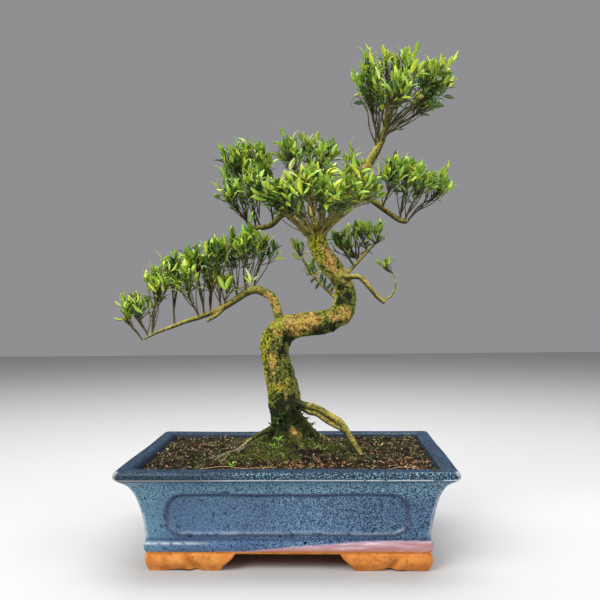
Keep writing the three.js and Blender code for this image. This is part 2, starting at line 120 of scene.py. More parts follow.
class Finish(NodeTree):
    """One surface finish: a material whose nodes read the piece's own coordinates and attributes."""

    def __init__(self, name, **fixed):
        self.material = bpy.data.materials.new(name)
        self.material.use_nodes = True
        self.tree = self.material.node_tree
        self.tree.nodes.clear()
        self.shader = add_node(self.tree, "ShaderNodeBsdfPrincipled")
        add_node(self.tree, "ShaderNodeOutputMaterial", {}, {"Surface": self.shader.outputs[0]})
        for name, value in fixed.items():
            self.shader.inputs[name.replace("_", " ").title().replace("Ior", "IOR")].default_value = value
        self.place = add_node(self.tree, "ShaderNodeTexCoord").outputs["Object"]

    def attribute(self, name):
        return self.node("ShaderNodeAttribute", {"attribute_name": name}, out="Fac")

    def axis(self, letter):
        return self.node("ShaderNodeSeparateXYZ", {}, {0: self.place}, letter)

    def clouds(self, size, detail=2.0, rough=0.5, place=None, bend=0.0):
        """Noise whose blotches are about that many millimetres across."""
        values = {"Vector": place or self.place, "Scale": 1 / (size * MM), "Detail": detail}
        return self.node("ShaderNodeTexNoise", {}, {**values, "Roughness": rough, "Distortion": bend})

    def cells(self, size, place=None):
        """How far the nearest of many scattered spots is, with spots about that many millimetres apart."""
        values = {"Vector": place or self.place, "Scale": 1 / (size * MM)}
        return self.node("ShaderNodeTexVoronoi", {}, values)

    def mix(self, share, one, other):
        settings = {"data_type": "RGBA", "clamp_factor": True}
        return self.node("ShaderNodeMix", settings, {0: share, 6: one, 7: other}, 2)

    def coats(self, colour, *coats):
        """The colour with coats over it, each given by where it lies and what colour it is."""
        for share, coat in coats:
            colour = self.mix(share, colour, coat)
        return colour

    def finish(self, colour, rough, height=None, depth=0.0):
        """Ends the finish: depth is how far in millimetres the relief of height stands out."""
        plug(self.tree, self.shader.inputs["Base Color"], colour)
        plug(self.tree, self.shader.inputs["Roughness"], rough)
        if height is not None:
            values = {"Height": height, "Distance": depth * MM, "Strength": 1.0}
            plug(self.tree, self.shader.inputs["Normal"], self.node("ShaderNodeBump", {}, values))
        return self.material


def smooth(low, high, value):
    share = np.clip((value - low) / (high - low), 0, 1)
    return share * share * (3 - 2 * share)


# Sizes are in millimetres. The pot's section is given by insets from its widest and heights over the ground.
pot_half_width, pot_half_depth, pot_corner, inner_corner = 178.0, 125.0, 6.0, 5.0
pot_outside = [
    (28, 18), (27.2, 19.5), (26, 22.5), (25.6, 28), (27.2, 32), (27.6, 35), (26.6, 43), (24.8, 56),
    (21.4, 71), (17.1, 83.3), (11.8, 92), (5.1, 97.5), (1.3, 100.8), (0, 104), (0.5, 107.3), (2.4, 109.6),
]
pot_inside = [(4.2, 110), (14.6, 110), (16.6, 109.2), (18, 106.5), (25, 88), (32, 64), (36, 33), (38, 27)]
outside_rows, inside_rows = 84, 26
panel_depth, panel_radius, panel_middle, panel_half_height = 2.6, 19.0, 61.0, 22.0
long_panel_half, short_panel_half = 128.0, 74.0


def rounded(half_x, half_y, radius):
    """Points round a rounded rectangle, anticlockwise, with the way out at each; all rings have as many."""
    corner_steps, gap = 8, 3.1
    along_x, along_y = round(2 * pot_half_width / gap), round(2 * pot_half_depth / gap)
    points, outs = [], []
    for quarter, steps in enumerate((along_x, along_y, along_x, along_y)):
        side_x, side_y = (1, -1, -1, 1)[quarter], (1, 1, -1, -1)[quarter]
        turn = np.linspace(quarter, quarter + 1, corner_steps + 1) * pi / 2
        out = np.stack([np.cos(turn), np.sin(turn)], 1)
        arc = np.array([side_x * (half_x - radius), side_y * (half_y - radius)]) + radius * out
        points.append(arc)
        outs.append(out)
        next_x, next_y = (-1, -1, 1, 1)[quarter], (1, -1, -1, 1)[quarter]
        start = np.array([next_x * (half_x - radius), next_y * (half_y - radius)]) + radius * out[-1]
        share = np.linspace(0, 1, steps + 1)[1:-1, None]
        points.append(arc[-1] * (1 - share) + start * share)
        outs.append(np.repeat(out[-1:], steps - 1, 0))
    return np.concatenate(points), np.concatenate(outs)


def curve_point(stations, i, share):
    """Where a smooth curve through the stations is, at that share of the way from station i to the next."""
    ends = np.concatenate([2 * stations[:1] - stations[1:2], stations, 2 * stations[-1:] - stations[-2:-1]])
    a, b, c, d = ends[i:i + 4]
    leaving, arriving = (c - a) / 2, (d - b) / 2
    square = 3 * (c - b) - 2 * leaving - arriving
    cube = 2 * (b - c) + leaving + arriving
    return b + leaving * share + square * share**2 + cube * share**3


def through(stations, count):
    """That many points, evenly spread, along a smooth curve through the stations."""
    stations = np.array(stations, float)
    shares = np.linspace(0, 1, 24, endpoint=False)[:, None]
    fine = [curve_point(stations, i, shares) for i in range(len(stations) - 1)]
    fine = np.concatenate([*fine, stations[-1:]])
    run = np.concatenate([[0], np.cumsum(np.linalg.norm(np.diff(fine[:, :3], axis=0), axis=1))])
    at = np.linspace(0, run[-1], count)
    return np.stack([np.interp(at, run, fine[:, k]) for k in range(fine.shape[1])], 1)


def closed_tube(rings, around):
    """The faces of a tube of rings with as many points each, closed at both ends."""
    faces = []
    for r in range(rings - 1):
        low, high = r * around, (r + 1) * around
        faces += [(low + i, low + (i + 1) % around, high + (i + 1) % around, high + i) for i in range(around)]
    return faces + [tuple(range(around - 1, -1, -1)), tuple(range((rings - 1) * around, rings * around))]


def note_on_points(mesh, notes):
    """Keeps a number at each point of the mesh, under each name, for a finish or a rule to read."""
    for name, values in notes.items():
        mesh.attributes.new(name, "FLOAT", "POINT").data.foreach_set("value", np.asarray(values, np.float32))


def bring_in(name, data):
    made = bpy.data.objects.new(name, data)
    bpy.context.scene.collection.objects.link(made)
    return made


def throw_away(*pieces):
    for piece in pieces:
        bpy.data.objects.remove(piece)


def make_piece(name, points, faces, material=None, notes=None):
    """A mesh piece from points in millimetres, smooth shaded."""
    mesh = bpy.data.meshes.new(name)
    mesh.from_pydata((np.asarray(points) * MM).tolist(), [], faces)
    mesh.validate()
    mesh.polygons.foreach_set("use_smooth", [True] * len(mesh.polygons))
    note_on_points(mesh, notes or {})
    mesh.materials.append(material)
    return bring_in(name, mesh)


def evaluated(piece):
    """The piece's mesh as its modifiers leave it."""
    return bpy.data.meshes.new_from_object(piece.evaluated_get(bpy.context.evaluated_depsgraph_get()))


def take_modifiers_in(piece):
    made = evaluated(piece)
    piece.modifiers.clear()
    piece.data = made


def put_on(piece, slot_name, *nodes):
    """Fixes the piece to the one body, in place of the plain solids named. The slot name is not used."""
    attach(piece, "root")
    if nodes:
        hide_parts(*nodes)


def pot_rings():
    """The body's skin, underside over lip to inside: thin and thick glaze, painted highlights and shade."""
    levels = np.concatenate([through(pot_outside, outside_rows), through(pot_inside, inside_rows)])
    points, edge, pooled_glaze_and_shade, inner = [], [], [], []
    for row, (inset, z) in enumerate(levels):
        outer = row < outside_rows
        corner = pot_corner if outer else inner_corner
        ring, out = rounded(pot_half_width - inset, pot_half_depth - inset, corner)
        x, y = ring[:, 0], ring[:, 1]
        broad = np.abs(out[:, 1]) > 0.95
        along = np.where(broad, np.abs(x), np.abs(y))
        half = np.where(broad, long_panel_half, short_panel_half)
        over_x = along - (half - panel_radius)
        over_z = abs(z - panel_middle) - (panel_half_height - panel_radius)
        beyond = np.hypot(np.maximum(over_x, 0), max(over_z, 0)) + np.minimum(np.maximum(over_x, over_z), 0)
        beyond = beyond - panel_radius + 0.5 * np.sin(along / 17) + 0.4 * np.sin(z / 5)
        straight = (np.abs(out).max(1) > 0.999) & outer
        sunk = np.where(straight, smooth(0.8, -4.4, beyond), 0.0)
        rise = np.where(straight, 0.8 * np.exp(-((beyond - 1.9) / 1.6) ** 2), 0.0)
        wave = 0.25 * np.sin(x / 31 + z / 19) + 0.2 * np.sin(y / 23 - z / 27 + 1)
        moved = ring + out * (rise - panel_depth * sunk + (wave if outer else 0.4 * wave) - 0.4)[:, None]
        lip = smooth(94, 106, z) * (0.35 * np.sin(x / 37 + 0.7) + 0.3 * np.sin(y / 29 + x / 90) - 0.5)
        points.append(np.column_stack([moved, np.full(len(ring), z) + lip]))
        sharp = np.where(np.abs(out).max(1) < 0.97, 0.55, 0.0) * smooth(30, 40, z) * outer
        low_side = smooth(-6, -16, z - panel_middle)
        # Painted highlights: a pale line on each panel's lower ledge, and glints on the bead at the front
        # left.
        ledge_highlight = np.exp(-((beyond + 0.6) / 1.3) ** 2) * straight * (0.08 + 0.27 * low_side)
        glint = np.exp(-((z - 29.6) / 1.1) ** 2) * smooth(-70, -110, x) * (y < 0)
        edge.append(np.clip(sharp + ledge_highlight + glint, 0, 1))
        # Pooled glaze and painted shade: dark lines round the panels, under the lip and above the bead.
        groove = np.exp(-((beyond + 2.6 - 3.6 * low_side - 1.2 * (1 - low_side)) / 1.9) ** 2) * straight
        under_lip = np.exp(-((z - 99.2) / 1.2) ** 2) + np.exp(-((z - 33.6) / 1.5) ** 2)
        pooled_glaze_and_shade.append(np.clip(groove + under_lip * 0.7 * outer, 0, 1))
        inner.append(np.full(len(ring), smooth(110.2, 109.0, z) * (not outer)))
    notes = {"edge": np.concatenate(edge), "pooled_glaze_and_shade": np.concatenate(pooled_glaze_and_shade), "inner": np.concatenate(inner)}
    return np.concatenate(points), closed_tube(len(levels), len(points[0])), notes


foot_x, foot_y, foot_top = 150.0, 97.0, 18.6
foot_rows = [foot_top, 16.5, 14, 11.5, 9, 7, 5, 3.4, 1.9, 0.8, 0.0]
inner_foot_x, inner_foot_y = 134.0, 81.0


def foot_loft(side_x, side_y):
    """One corner foot: a cloud-shaped wedge that follows the pot's corner, wider above than on the ground."""
    columns = 46
    long_x, long_y = foot_x - pot_corner, foot_y - pot_corner
    points = []
    for z in foot_rows:
        share = 1 - z / 19
        arch = share**2 * (3 - 2 * share)
        start_x, start_y = 55 + 16 * arch, 32 + 14 * arch
        front = [(u, foot_y, 0.0, 1.0) for u in np.linspace(start_x, long_x, 24)]
        bend = []
        for turn in np.linspace(90, 0, 8)[1:-1]:
            out = (cos(radians(turn)), sin(radians(turn)))
            bend.append((long_x + pot_corner * out[0], long_y + pot_corner * out[1], *out))
        flank = [(foot_x, v, 1.0, 0.0) for v in np.linspace(long_y, start_y, columns - 30)]
        ring, outs = np.split(np.array(front + bend + flank), 2, axis=1)
        bulge = 1.7 * sin(pi * min(share * 1.15, 1)) - 2.4 * share**4 - 0.2
        slant = ring[:, 0] - 108 - 5 * side_x + 14 * (share - 0.5)
        crease = np.exp(-((slant / 4.0) ** 2)) - 0.6 * np.exp(-(((slant - 9) / 5) ** 2))
        lumps = 0.5 * np.sin(ring[:, 0] / 9 + 2.1 * side_x) * np.sin(pi * share)
        lumps = lumps + 0.4 * np.sin(ring[:, 1] / 8)
        dent = (4.2 * crease * (ring[:, 1] > 96) + lumps) * smooth(0.10, 0.55, share)
        moved = ring + outs * (bulge - dent)[:, None]
        scallop = 2.2 * np.exp(-(((ring[:, 0] - 110) / 14) ** 2)) * (ring[:, 1] > 96) * (1 - z / 19)
        points.append(np.column_stack([moved, z + scallop]))
    outer = np.stack(points)
    inner = np.stack([outer[0], outer[-1]])
    inner[:, :, 0] = np.minimum(inner[:, :, 0], inner_foot_x)
    inner[:, :, 1] = np.minimum(inner[:, :, 1], inner_foot_y)
    inner[0, :, 2] = foot_top
    loops = np.concatenate([outer, inner[1:], inner[:1]])
    faces = closed_tube(columns, len(loops))
    faces = faces if side_x * side_y < 0 else [tuple(reversed(face)) for face in faces]
    return np.transpose(loops, (1, 0, 2)).reshape(-1, 3) * np.array([side_x, side_y, 1]), faces


def glaze_finish():
    """Blue glaze with mottle, specks, pools, wear on edges and painted light and shade; rose band; bare clay.
    """
    glaze = Finish("speckled_blue_glaze", ior=1.5, specular_ior_level=0.24)
    height, across, inner = glaze.axis("Z"), glaze.axis("X"), glaze.attribute("inner")
    drift, soft = glaze.clouds(60, 3), glaze.clouds(14, 3)
    mottle, fleck = glaze.clouds(1.35, 2, 0.6), glaze.clouds(2.4, 2, 0.6)
    grain = glaze.clouds(3.6, 2, 0.65, bend=0.6)
    wobble = glaze.node("ShaderNodeTexNoise", {}, {"Vector": glaze.place, "Scale": 400.0}, 1)
    bent = glaze.node("ShaderNodeVectorMath", {"operation": "SCALE"}, {0: wobble, "Scale": 0.0012})
    warped = glaze.node("ShaderNodeVectorMath", {"operation": "ADD"}, {0: glaze.place, 1: bent})
    upper = (height + (soft - 0.5) * 0.02).between(0.070, 0.092)
    busy = (across + (drift - 0.5) * 0.12).between(-0.10, 0.05) * 0.45 + upper * 0.35 + 0.20
    spotted = busy + across.between(0.02, 0.09) * 0.2 + upper * 0.25 + 0.15
    dots = glaze.cells(1.9, warped).between(0.52, 0.30) * fleck.between(0.40, 0.50)
    ragged_across = across + (soft - 0.5) * 0.06
    lip = (height + (mottle - 0.5) * 0.002).between(0.1010, 0.1018)
    lit = ragged_across.between(-0.10, -0.02) * 0.80 + 0.12
    navy = glaze.mix(fleck.between(0.48, 0.60), (0.002, 0.004, 0.011), (0.018, 0.048, 0.090))
    navy = glaze.mix(mottle.between(0.54, 0.62) * lit, navy, (0.230, 0.410, 0.520))
    rim_top = height.between(0.1082, 0.1090)
    rim_blue = glaze.mix(fleck.between(0.46, 0.54), (0.001, 0.002, 0.008), (0.020, 0.058, 0.112))
    # A thin line under the lip's front: brown worn glaze at the left, a pale painted highlight further right.
    under_rim = height.between(0.1000, 0.1004) * height.between(0.1019, 0.1013) * (1 - inner)
    worn_and_highlit = glaze.mix(ragged_across.between(-0.05, -0.09), (0.640, 0.700, 0.760), (0.340, 0.270, 0.235))
    blue = glaze.coats(
        glaze.mix(drift.between(0.35, 0.65), (0.045, 0.080, 0.185), (0.058, 0.118, 0.230)),
        (upper * 0.75, (0.085, 0.205, 0.280)),
        # Painted light: the body is lighter towards its left end.
        (across.between(-0.112, -0.145) * 0.62, (0.120, 0.265, 0.350)),
        (mottle.between(0.46, 0.58) * (busy + 0.05), (0.260, 0.450, 0.560)),
        # Painted shade: the body is darker on its right half, below the upper band.
        (across.between(0.00, 0.11) * height.between(0.088, 0.070) * 0.35, (0.020, 0.058, 0.130)),
        (dots * spotted, (0.004, 0.009, 0.045)),
        (grain.between(0.63, 0.67), (0.004, 0.007, 0.022)),
        # Darker where glaze pools, with painted shade in the panel grooves, under the lip and above the bead.
        (glaze.attribute("pooled_glaze_and_shade") * 0.85, (0.010, 0.017, 0.062)),
        (lip * 0.95, navy),
        (rim_top * 0.95, rim_blue),
        (inner * 0.9, (0.004, 0.009, 0.026)),
        (under_rim * glaze.clouds(12, 3).between(0.30, 0.44) * 0.8, worn_and_highlit),
        # Paler where glaze breaks on the corners, with painted highlights on panel ledges and the bead.
        (glaze.attribute("edge") * glaze.clouds(7, 3).between(0.32, 0.52) * 0.75, (0.560, 0.600, 0.630)),
    )
    rise = (across + (drift - 0.5) * 0.05).between(-0.12, 0.12)
    pink_top = rise * 0.0128 + 0.0195
    pink = (height - pink_top + (soft - 0.5) * 0.0024).between(0.0009, -0.0011)
    streak = glaze.node("ShaderNodeMapping", {}, {0: glaze.place, 3: (1.0, 1.0, 9.0)})
    runs = glaze.clouds(34, 3, place=streak)
    rose = glaze.coats(
        glaze.mix(runs.between(0.35, 0.65), (0.420, 0.205, 0.220), (0.560, 0.360, 0.400)),
        ((height - 0.0205).between(0.0050, 0.0), (0.520, 0.200, 0.110)),
        ((height - pink_top).between(-0.0030, 0.0) * 0.7, (0.440, 0.330, 0.450)),
        # Painted highlight: pale streaks along the rose band, stronger towards the right.
        (runs.between(0.60, 0.68) * rise * 0.7, (0.760, 0.640, 0.700)),
    )
    bare = (height + (soft - 0.5) * 0.0028).between(0.0212, 0.0203)
    pinholes = glaze.cells(6.5).between(0.15, 0.09) * glaze.clouds(8).between(0.46, 0.5)
    clay = glaze.coats(
        glaze.mix(soft.between(0.3, 0.7), (0.560, 0.180, 0.028), (0.720, 0.285, 0.058)),
        (glaze.clouds(5, 3, 0.6).between(0.52, 0.68) * 0.55, (0.330, 0.095, 0.022)),
        (pinholes * 0.9, (0.050, 0.018, 0.008)),
    )
    rough = 0.13 + soft * 0.10 + lip * 0.20 + (inner + rim_top) * 0.25 + bare * 0.42
    ripple = (glaze.clouds(16, 2) * 0.9 + mottle * 0.12 + grain * 0.16) * (1 - bare)
    coarse = (glaze.clouds(2.0, 3, 0.7) * 0.35 - pinholes * 0.8 + soft * 0.5) * bare
    return glaze.finish(glaze.coats(blue, (pink, rose), (bare, clay)), rough, ripple + coarse, 0.7)


def bore_or_weld(body, other, operation):
    """Cuts the other shape out of the body, or welds it on, and leaves the body alone."""
    step = body.modifiers.new(other.name, "BOOLEAN")
    step.operation, step.solver, step.object = operation, "EXACT", other
    take_modifiers_in(body)
    throw_away(other)


drain_radius, drain_place, drain_depth, drain_middle = 9.0, 80.0, 30.0, 22.5
pot_points, pot_faces, pot_notes = pot_rings()
pot_surface = glaze_finish()
pot = make_piece("glazed_pot", pot_points, pot_faces, pot_surface, pot_notes)
for side in (-1, 1):
    middle = (side * drain_place * MM, 0, drain_middle * MM)
    bpy.ops.mesh.primitive_cylinder_add(
        vertices=48, radius=drain_radius * MM, depth=drain_depth * MM, location=middle)
    bore_or_weld(pot, bpy.context.object, "DIFFERENCE")
for side_x, side_y in ((-1, -1), (-1, 1), (1, -1), (1, 1)):
    foot = make_piece("foot", *foot_loft(side_x, side_y), pot_surface)
    foot.modifiers.new("corner", "WELD").merge_threshold = 0.02 * MM
    take_modifiers_in(foot)
    bore_or_weld(pot, foot, "UNION")
put_on(pot, "glazed_pot", "pot")


# Drain meshes. A square of black plastic netting over each of the two holes in the pot's floor, which keeps
# the soil in. Its strands are moulded in two layers that cross, and it lies loose under the soil.
class Rule(NodeTree):
    """A rule in geometry nodes, with named inputs for its sizes. run() leaves a plain mesh."""

    kinds = {
        float: "Float", int: "Int", str: "String", bpy.types.Object: "Object",
        bpy.types.Material: "Material",
    }

    def __init__(self, name, **sizes):
        self.tree = bpy.data.node_groups.new(name, "GeometryNodeTree")
        outside = self.tree.interface
        outside.new_socket("Geometry", in_out="OUTPUT", socket_type="NodeSocketGeometry")
        outside.new_socket("Geometry", in_out="INPUT", socket_type="NodeSocketGeometry")
        self.keys = {}
        for label, value in {**sizes, "Surface": bpy.types.Material}.items():
            kind = value if isinstance(value, type) else type(value)
            socket = outside.new_socket(label, in_out="INPUT", socket_type="NodeSocket" + self.kinds[kind])
            if kind is not value:
                socket.default_value = value
            self.keys[label] = socket.identifier
        self.entry = self.tree.nodes.new("NodeGroupInput")
        self.base = self.entry.outputs["Geometry"]

    def size(self, label):
        return Amount(self.tree, self.entry.outputs[label])

    def random(self, low, high, seed):
        values = {2: low, 3: high, 8: self.size("Seed") + seed}
        return self.node("FunctionNodeRandomValue", {"data_type": "FLOAT"}, values, 1)

    def shape(self, label):
        return self.node("GeometryNodeObjectInfo", {}, {"Object": self.size(label)}, "Geometry")

    def vector(self, x=0.0, y=0.0, z=0.0):
        return self.node("ShaderNodeCombineXYZ", {}, {0: x, 1: y, 2: z})

    def note(self, name):
        """A number that the mesh keeps at its points."""
        return self.node("GeometryNodeInputNamedAttribute", {"data_type": "FLOAT"}, {0: name})

    def note_on_each(self, instances, name, value):
        settings = {"data_type": "FLOAT", "domain": "INSTANCE"}
        return self.node("GeometryNodeStoreNamedAttribute", settings, {0: instances, 2: name, 3: value})

    def turned(self, rotation, x=0.0, y=0.0, z=0.0):
        """The rotation, turned further about its own axes."""
        turn = self.node("FunctionNodeEulerToRotation", {}, {0: self.vector(x, y, z)})
        return self.node("FunctionNodeRotateRotation", {"rotation_space": "LOCAL"}, {0: rotation, 1: turn})

    def both(self, one, other):
        joint = add_node(self.tree, "GeometryNodeJoinGeometry")
        for part in (one, other):
            self.tree.links.new(part.socket, joint.inputs[0])
        return joint.outputs[0]

    def end(self, geometry):
        """The tree's last steps: instances become real faces, and take their surface finish."""
        real = self.node("GeometryNodeRealizeInstances", {}, {0: geometry})
        done = self.node("GeometryNodeSetMaterial", {}, {0: real, 2: self.size("Surface")})
        add_node(self.tree, "NodeGroupOutput", {}, {0: done})

    def run(self, name, base, **sizes):
        step = base.modifiers.new(name, "NODES")
        step.node_group = self.tree
        for label, value in sizes.items():
            step[self.keys[label]] = value
        made = evaluated(base)
        base.modifiers.remove(step)
        made.polygons.foreach_set("use_smooth", [True] * len(made.polygons))
        return bring_in(name, made)


def strand_shape(length, half):
    """A moulded strand along X: an eight-sided bar with pinched ends."""
    points, turns, end = [], np.arange(8) * pi / 4 + pi / 8, length / 2
    for x, girth in ((-end, 0.8), (-end + 0.3, 1.0), (end - 0.3, 1.0), (end, 0.8)):
        points += [(x, girth * half * cos(t), girth * half * sin(t)) for t in turns]
    return points, closed_tube(4, 8)


def netting_rule():
    """Two layers of strands in a row, one across the other."""
    rule = Rule("netting_strands", Strand=bpy.types.Object, Strands=10, Gap=0.003, Layer=0.0003, Lift=0.0279)
    count, gap = rule.size("Strands"), rule.size("Gap")
    layers = []
    for quarter, sign in ((0, -1), (1, 1)):
        start = (count - 1) * gap * -0.5
        places = {0: count, 2: rule.vector(y=start), 3: rule.vector(y=gap)}
        row = rule.node("GeometryNodeMeshLine", {}, places)
        bars = rule.node("GeometryNodeInstanceOnPoints", {}, {0: row, 2: rule.shape("Strand")})
        lift = rule.vector(z=rule.size("Lift") + rule.size("Layer") * sign)
        layers.append(rule.node("GeometryNodeTransform", {}, {0: bars, 1: lift, 2: (0, 0, quarter * pi / 2)}))
    rule.end(rule.both(*layers))
    return rule


def netting_finish():
    plastic = Finish("black_plastic_netting")
    dusty = plastic.clouds(4, 3).between(0.45, 0.7)
    shade = plastic.mix(dusty * 0.5, (0.012, 0.012, 0.013), (0.075, 0.060, 0.045))
    return plastic.finish(shade, 0.42 + dusty * 0.3, plastic.clouds(0.8, 2), 0.05)


strand_length, strand_half = 28.0, 0.45
netting_surface, netting = netting_finish(), netting_rule()
strand = make_piece("strand", *strand_shape(strand_length, strand_half))
seat = make_piece("seat", [(0, 0, 0)], [], netting_surface)
for node, x in (("drain_mesh_left", -drain_place), ("drain_mesh_right", drain_place)):
    net = netting.run(node + "_netting", seat, Strand=strand, Surface=netting_surface)
    net.data.transform(Matrix.Translation((x * MM, 0, 0)))
    put_on(net, "drain_mesh", node)
throw_away(strand, seat)


# Soil. A dark gritty mix heaped round the trunk's foot, packed into the pot to a little below the lip. Moss
# has spread over its middle and left, and it is redder with rotted bark in front and on the right.
def soil_height(x, y):
    away = (x / 54) ** 2 + ((y + 8) / 44) ** 2
    waves = 0.9 * np.sin(0.19 * x + 0.11 * y) + 0.8 * np.sin(0.13 * x - 0.23 * y) + 0.6 * np.sin(0.37 * y)
    return 104 + 19 * np.exp(-away / 2) + waves


# Where moss and rotted bark lie: how much, the middle's x and y, and the reach along each.
moss_heaps = [
    (1.05, -8, -14, 50, 36), (1.0, -44, -56, 34, 24), (0.7, -2, -66, 24, 13), (0.8, 44, -28, 24, 18),
    (0.5, -50, 50, 60, 36), (0.5, 40, 60, 34, 30), (0.8, 74, -58, 20, 14), (0.3, -110, -40, 34, 40),
]
rust_heaps = [
    (1.2, 20, -88, 46, 15), (1.0, 126, -66, 24, 34), (0.4, 62, -66, 20, 16), (0.35, 105, 40, 45, 30),
    (0.3, -110, 20, 30, 50), (0.4, -20, -64, 16, 8),
]


def heaped(x, y, heaps):
    cover = 0
    for much, middle_x, middle_y, wide, deep in heaps:
        cover = cover + much * np.exp(-(((x - middle_x) / wide) ** 2) - ((y - middle_y) / deep) ** 2)
    return cover


def rough(points, size, octaves=3):
    """Fractal noise from about -1 to 1 at points in millimetres, with lumps of that size."""
    return np.array([noise.fractal(Vector(p) / size, 0.9, 2.1, octaves) for p in points])


def make_soil():
    """The mound's top as a grid that ends at the pot's wall, and its hidden sides and underside."""
    wall_z = [100.0, 92.0, 80.0, 64.0, 48.0, 36.0, 29.6]
    insets = np.interp([104.0, *wall_z], [27, 33, 64, 88, 106.5], [38, 36, 32, 25, 18])
    slack, corner, columns, rows = 0.4, 5, 206, 142
    half_x, half_y = pot_half_width - insets[0] + slack, pot_half_depth - insets[0] + slack
    u, v = np.meshgrid(np.linspace(-half_x, half_x, columns), np.linspace(-half_y, half_y, rows))
    x, y = u.ravel(), v.ravel()
    over_x, over_y = np.abs(x) - (half_x - corner), np.abs(y) - (half_y - corner)
    far = np.hypot(np.maximum(over_x, 0), np.maximum(over_y, 0))
    pull = np.where((over_x > 0) & (over_y > 0) & (far > corner), corner / np.maximum(far, 1e-6), 1.0)
    x = np.where(pull < 1, np.sign(x) * (half_x - corner + over_x * pull), x)
    y = np.where(pull < 1, np.sign(y) * (half_y - corner + over_y * pull), y)
    flat = np.column_stack([x, y, np.zeros(len(x))])
    moss = heaped(x, y, moss_heaps) + 0.5 * rough(flat, 22) + 0.5 * rough(flat + 60, 6.5)
    rust = heaped(x, y, rust_heaps) * (1 + 0.9 * rough(flat + 300, 15)) + 0.35 * rough(flat + 20, 6)
    moss, rust = np.clip(moss - 0.22, 0, 1), np.clip(rust - 0.2, 0, 1)
    crumbs = 0.9 * rough(flat, 7.0, 4) + 0.5 * rough(flat + 70, 2.4, 2)
    cushions = 1.5 * moss * (0.5 + 0.5 * rough(flat + 500, 9.0, 2))
    to_wall = np.minimum(half_x - np.abs(x), half_y - np.abs(y))
    edge = smooth(0, 9, to_wall)
    top = np.column_stack([x, y, soil_height(x, y) + crumbs + cushions * edge - 1.5 * (1 - edge)])
    faces = []
    for r in range(rows - 1):
        a = r * columns
        faces += [(a + c, a + c + 1, a + columns + c + 1, a + columns + c) for c in range(columns - 1)]
    border = list(range(columns)) + [r * columns + columns - 1 for r in range(1, rows)]
    border += list(range(rows * columns - 2, (rows - 1) * columns - 1, -1))
    border += [r * columns for r in range(rows - 2, 0, -1)]
    points, ring = [top], np.array(border)
    for inset, z in zip(insets[1:], wall_z):
        shrink_x = (pot_half_width - inset) / (half_x - slack)
        shrink_y = (pot_half_depth - inset) / (half_y - slack)
        lower = top[border][:, :2] * np.array([shrink_x, shrink_y])
        below = sum(len(p) for p in points) + np.arange(len(border))
        points.append(np.column_stack([lower, np.full(len(border), z)]))
        faces += [(ring[i - 1], below[i - 1], below[i], ring[i]) for i in range(len(border))]
        ring = below
    faces.append(ring[::-1])
    points = np.concatenate(points)
    notes = {"moss": moss, "rust": rust, "open": smooth(0.5, 3, to_wall)}
    hidden = np.zeros(len(points) - len(top))
    notes = {name: np.concatenate([values, hidden]) for name, values in notes.items()}
    faces = [tuple(int(i) for i in face) for face in faces]
    return make_piece("soil_mix", points, faces, soil_finish(), notes)


def soil_finish():
    soil = Finish("dark_soil_mix", specular_ior_level=0.08)
    moss, rust = soil.attribute("moss"), soil.attribute("rust")
    fine, coarse = soil.clouds(1.2, 3, 0.75), soil.clouds(5.0, 3, 0.6)
    red = soil.mix(fine.between(0.46, 0.56), (0.004, 0.002, 0.001), (0.080, 0.032, 0.015))
    olive = soil.mix(fine.between(0.42, 0.58), (0.004, 0.005, 0.002), (0.062, 0.066, 0.020))
    green = soil.mix(fine.between(0.44, 0.56), (0.003, 0.007, 0.002), (0.090, 0.115, 0.020))
    pale = soil.cells(3.1).between(0.16, 0.08) * soil.clouds(4).between(0.56, 0.60)
    shade = soil.coats(
        soil.mix(fine.between(0.44, 0.56), (0.002, 0.0015, 0.001), (0.022, 0.014, 0.008)),
        (coarse.between(0.54, 0.62) * 0.7, (0.050, 0.031, 0.016)),
        (rust.between(0.25, 0.75) * 0.7, red),
        (soil.clouds(16, 3).between(0.48, 0.56) * (1 - rust) * 0.7, olive),
        (moss.between(0.35, 0.7) * 0.85, green),
        (pale * 0.6, (0.34, 0.27, 0.17)),
    )
    return soil.finish(shade, 0.92, fine * 0.9 + coarse * 0.5, 1.4)


soil = make_soil()
put_on(soil, "soil", "soil")


# What lies on the soil. Crumbs, bark chips, pale grit and dry fibres are loose on it, and tufts and sprigs of
# moss grow there. Each kind is one small shape, strewn by chance where the soil's own masks let it lie.
def strewing_rule():
    """Strews a shape over a surface where its mask allows, each turned and sized by chance."""
    rule = Rule(
        "strewn_pieces", Shape=bpy.types.Object, Mask="moss", Density=1000.0, Small=0.6, Large=1.2, Tilt=0.5,
        Lift=0.0, Floor=0.0, Seed=1,
    )
    share = (rule.note(rule.size("Mask")) + rule.size("Floor")) * rule.note("open")
    spread = add_node(rule.tree, "GeometryNodeDistributePointsOnFaces", {"distribute_method": "RANDOM"}, {
        "Mesh": rule.base, "Density": rule.size("Density") * share, "Seed": rule.size("Seed")})
    tilt = rule.size("Tilt")
    rotation = rule.turned(
        spread.outputs["Rotation"], rule.random(-1.0, 1.0, 3) * tilt, rule.random(-1.0, 1.0, 4) * tilt,
        rule.random(0.0, 6.283, 5))
    scale = rule.random(rule.size("Small"), rule.size("Large"), 6)
    lift = rule.vector(z=rule.size("Lift"))
    lifted = rule.node("GeometryNodeTransform", {}, {0: rule.shape("Shape"), 1: lift})
    placed = rule.node("GeometryNodeInstanceOnPoints", {}, {
        0: spread.outputs["Points"], 2: lifted, 5: rotation, 6: scale})
    rule.end(rule.note_on_each(placed, "tint", rule.random(0.0, 1.0, 7)))
    return rule


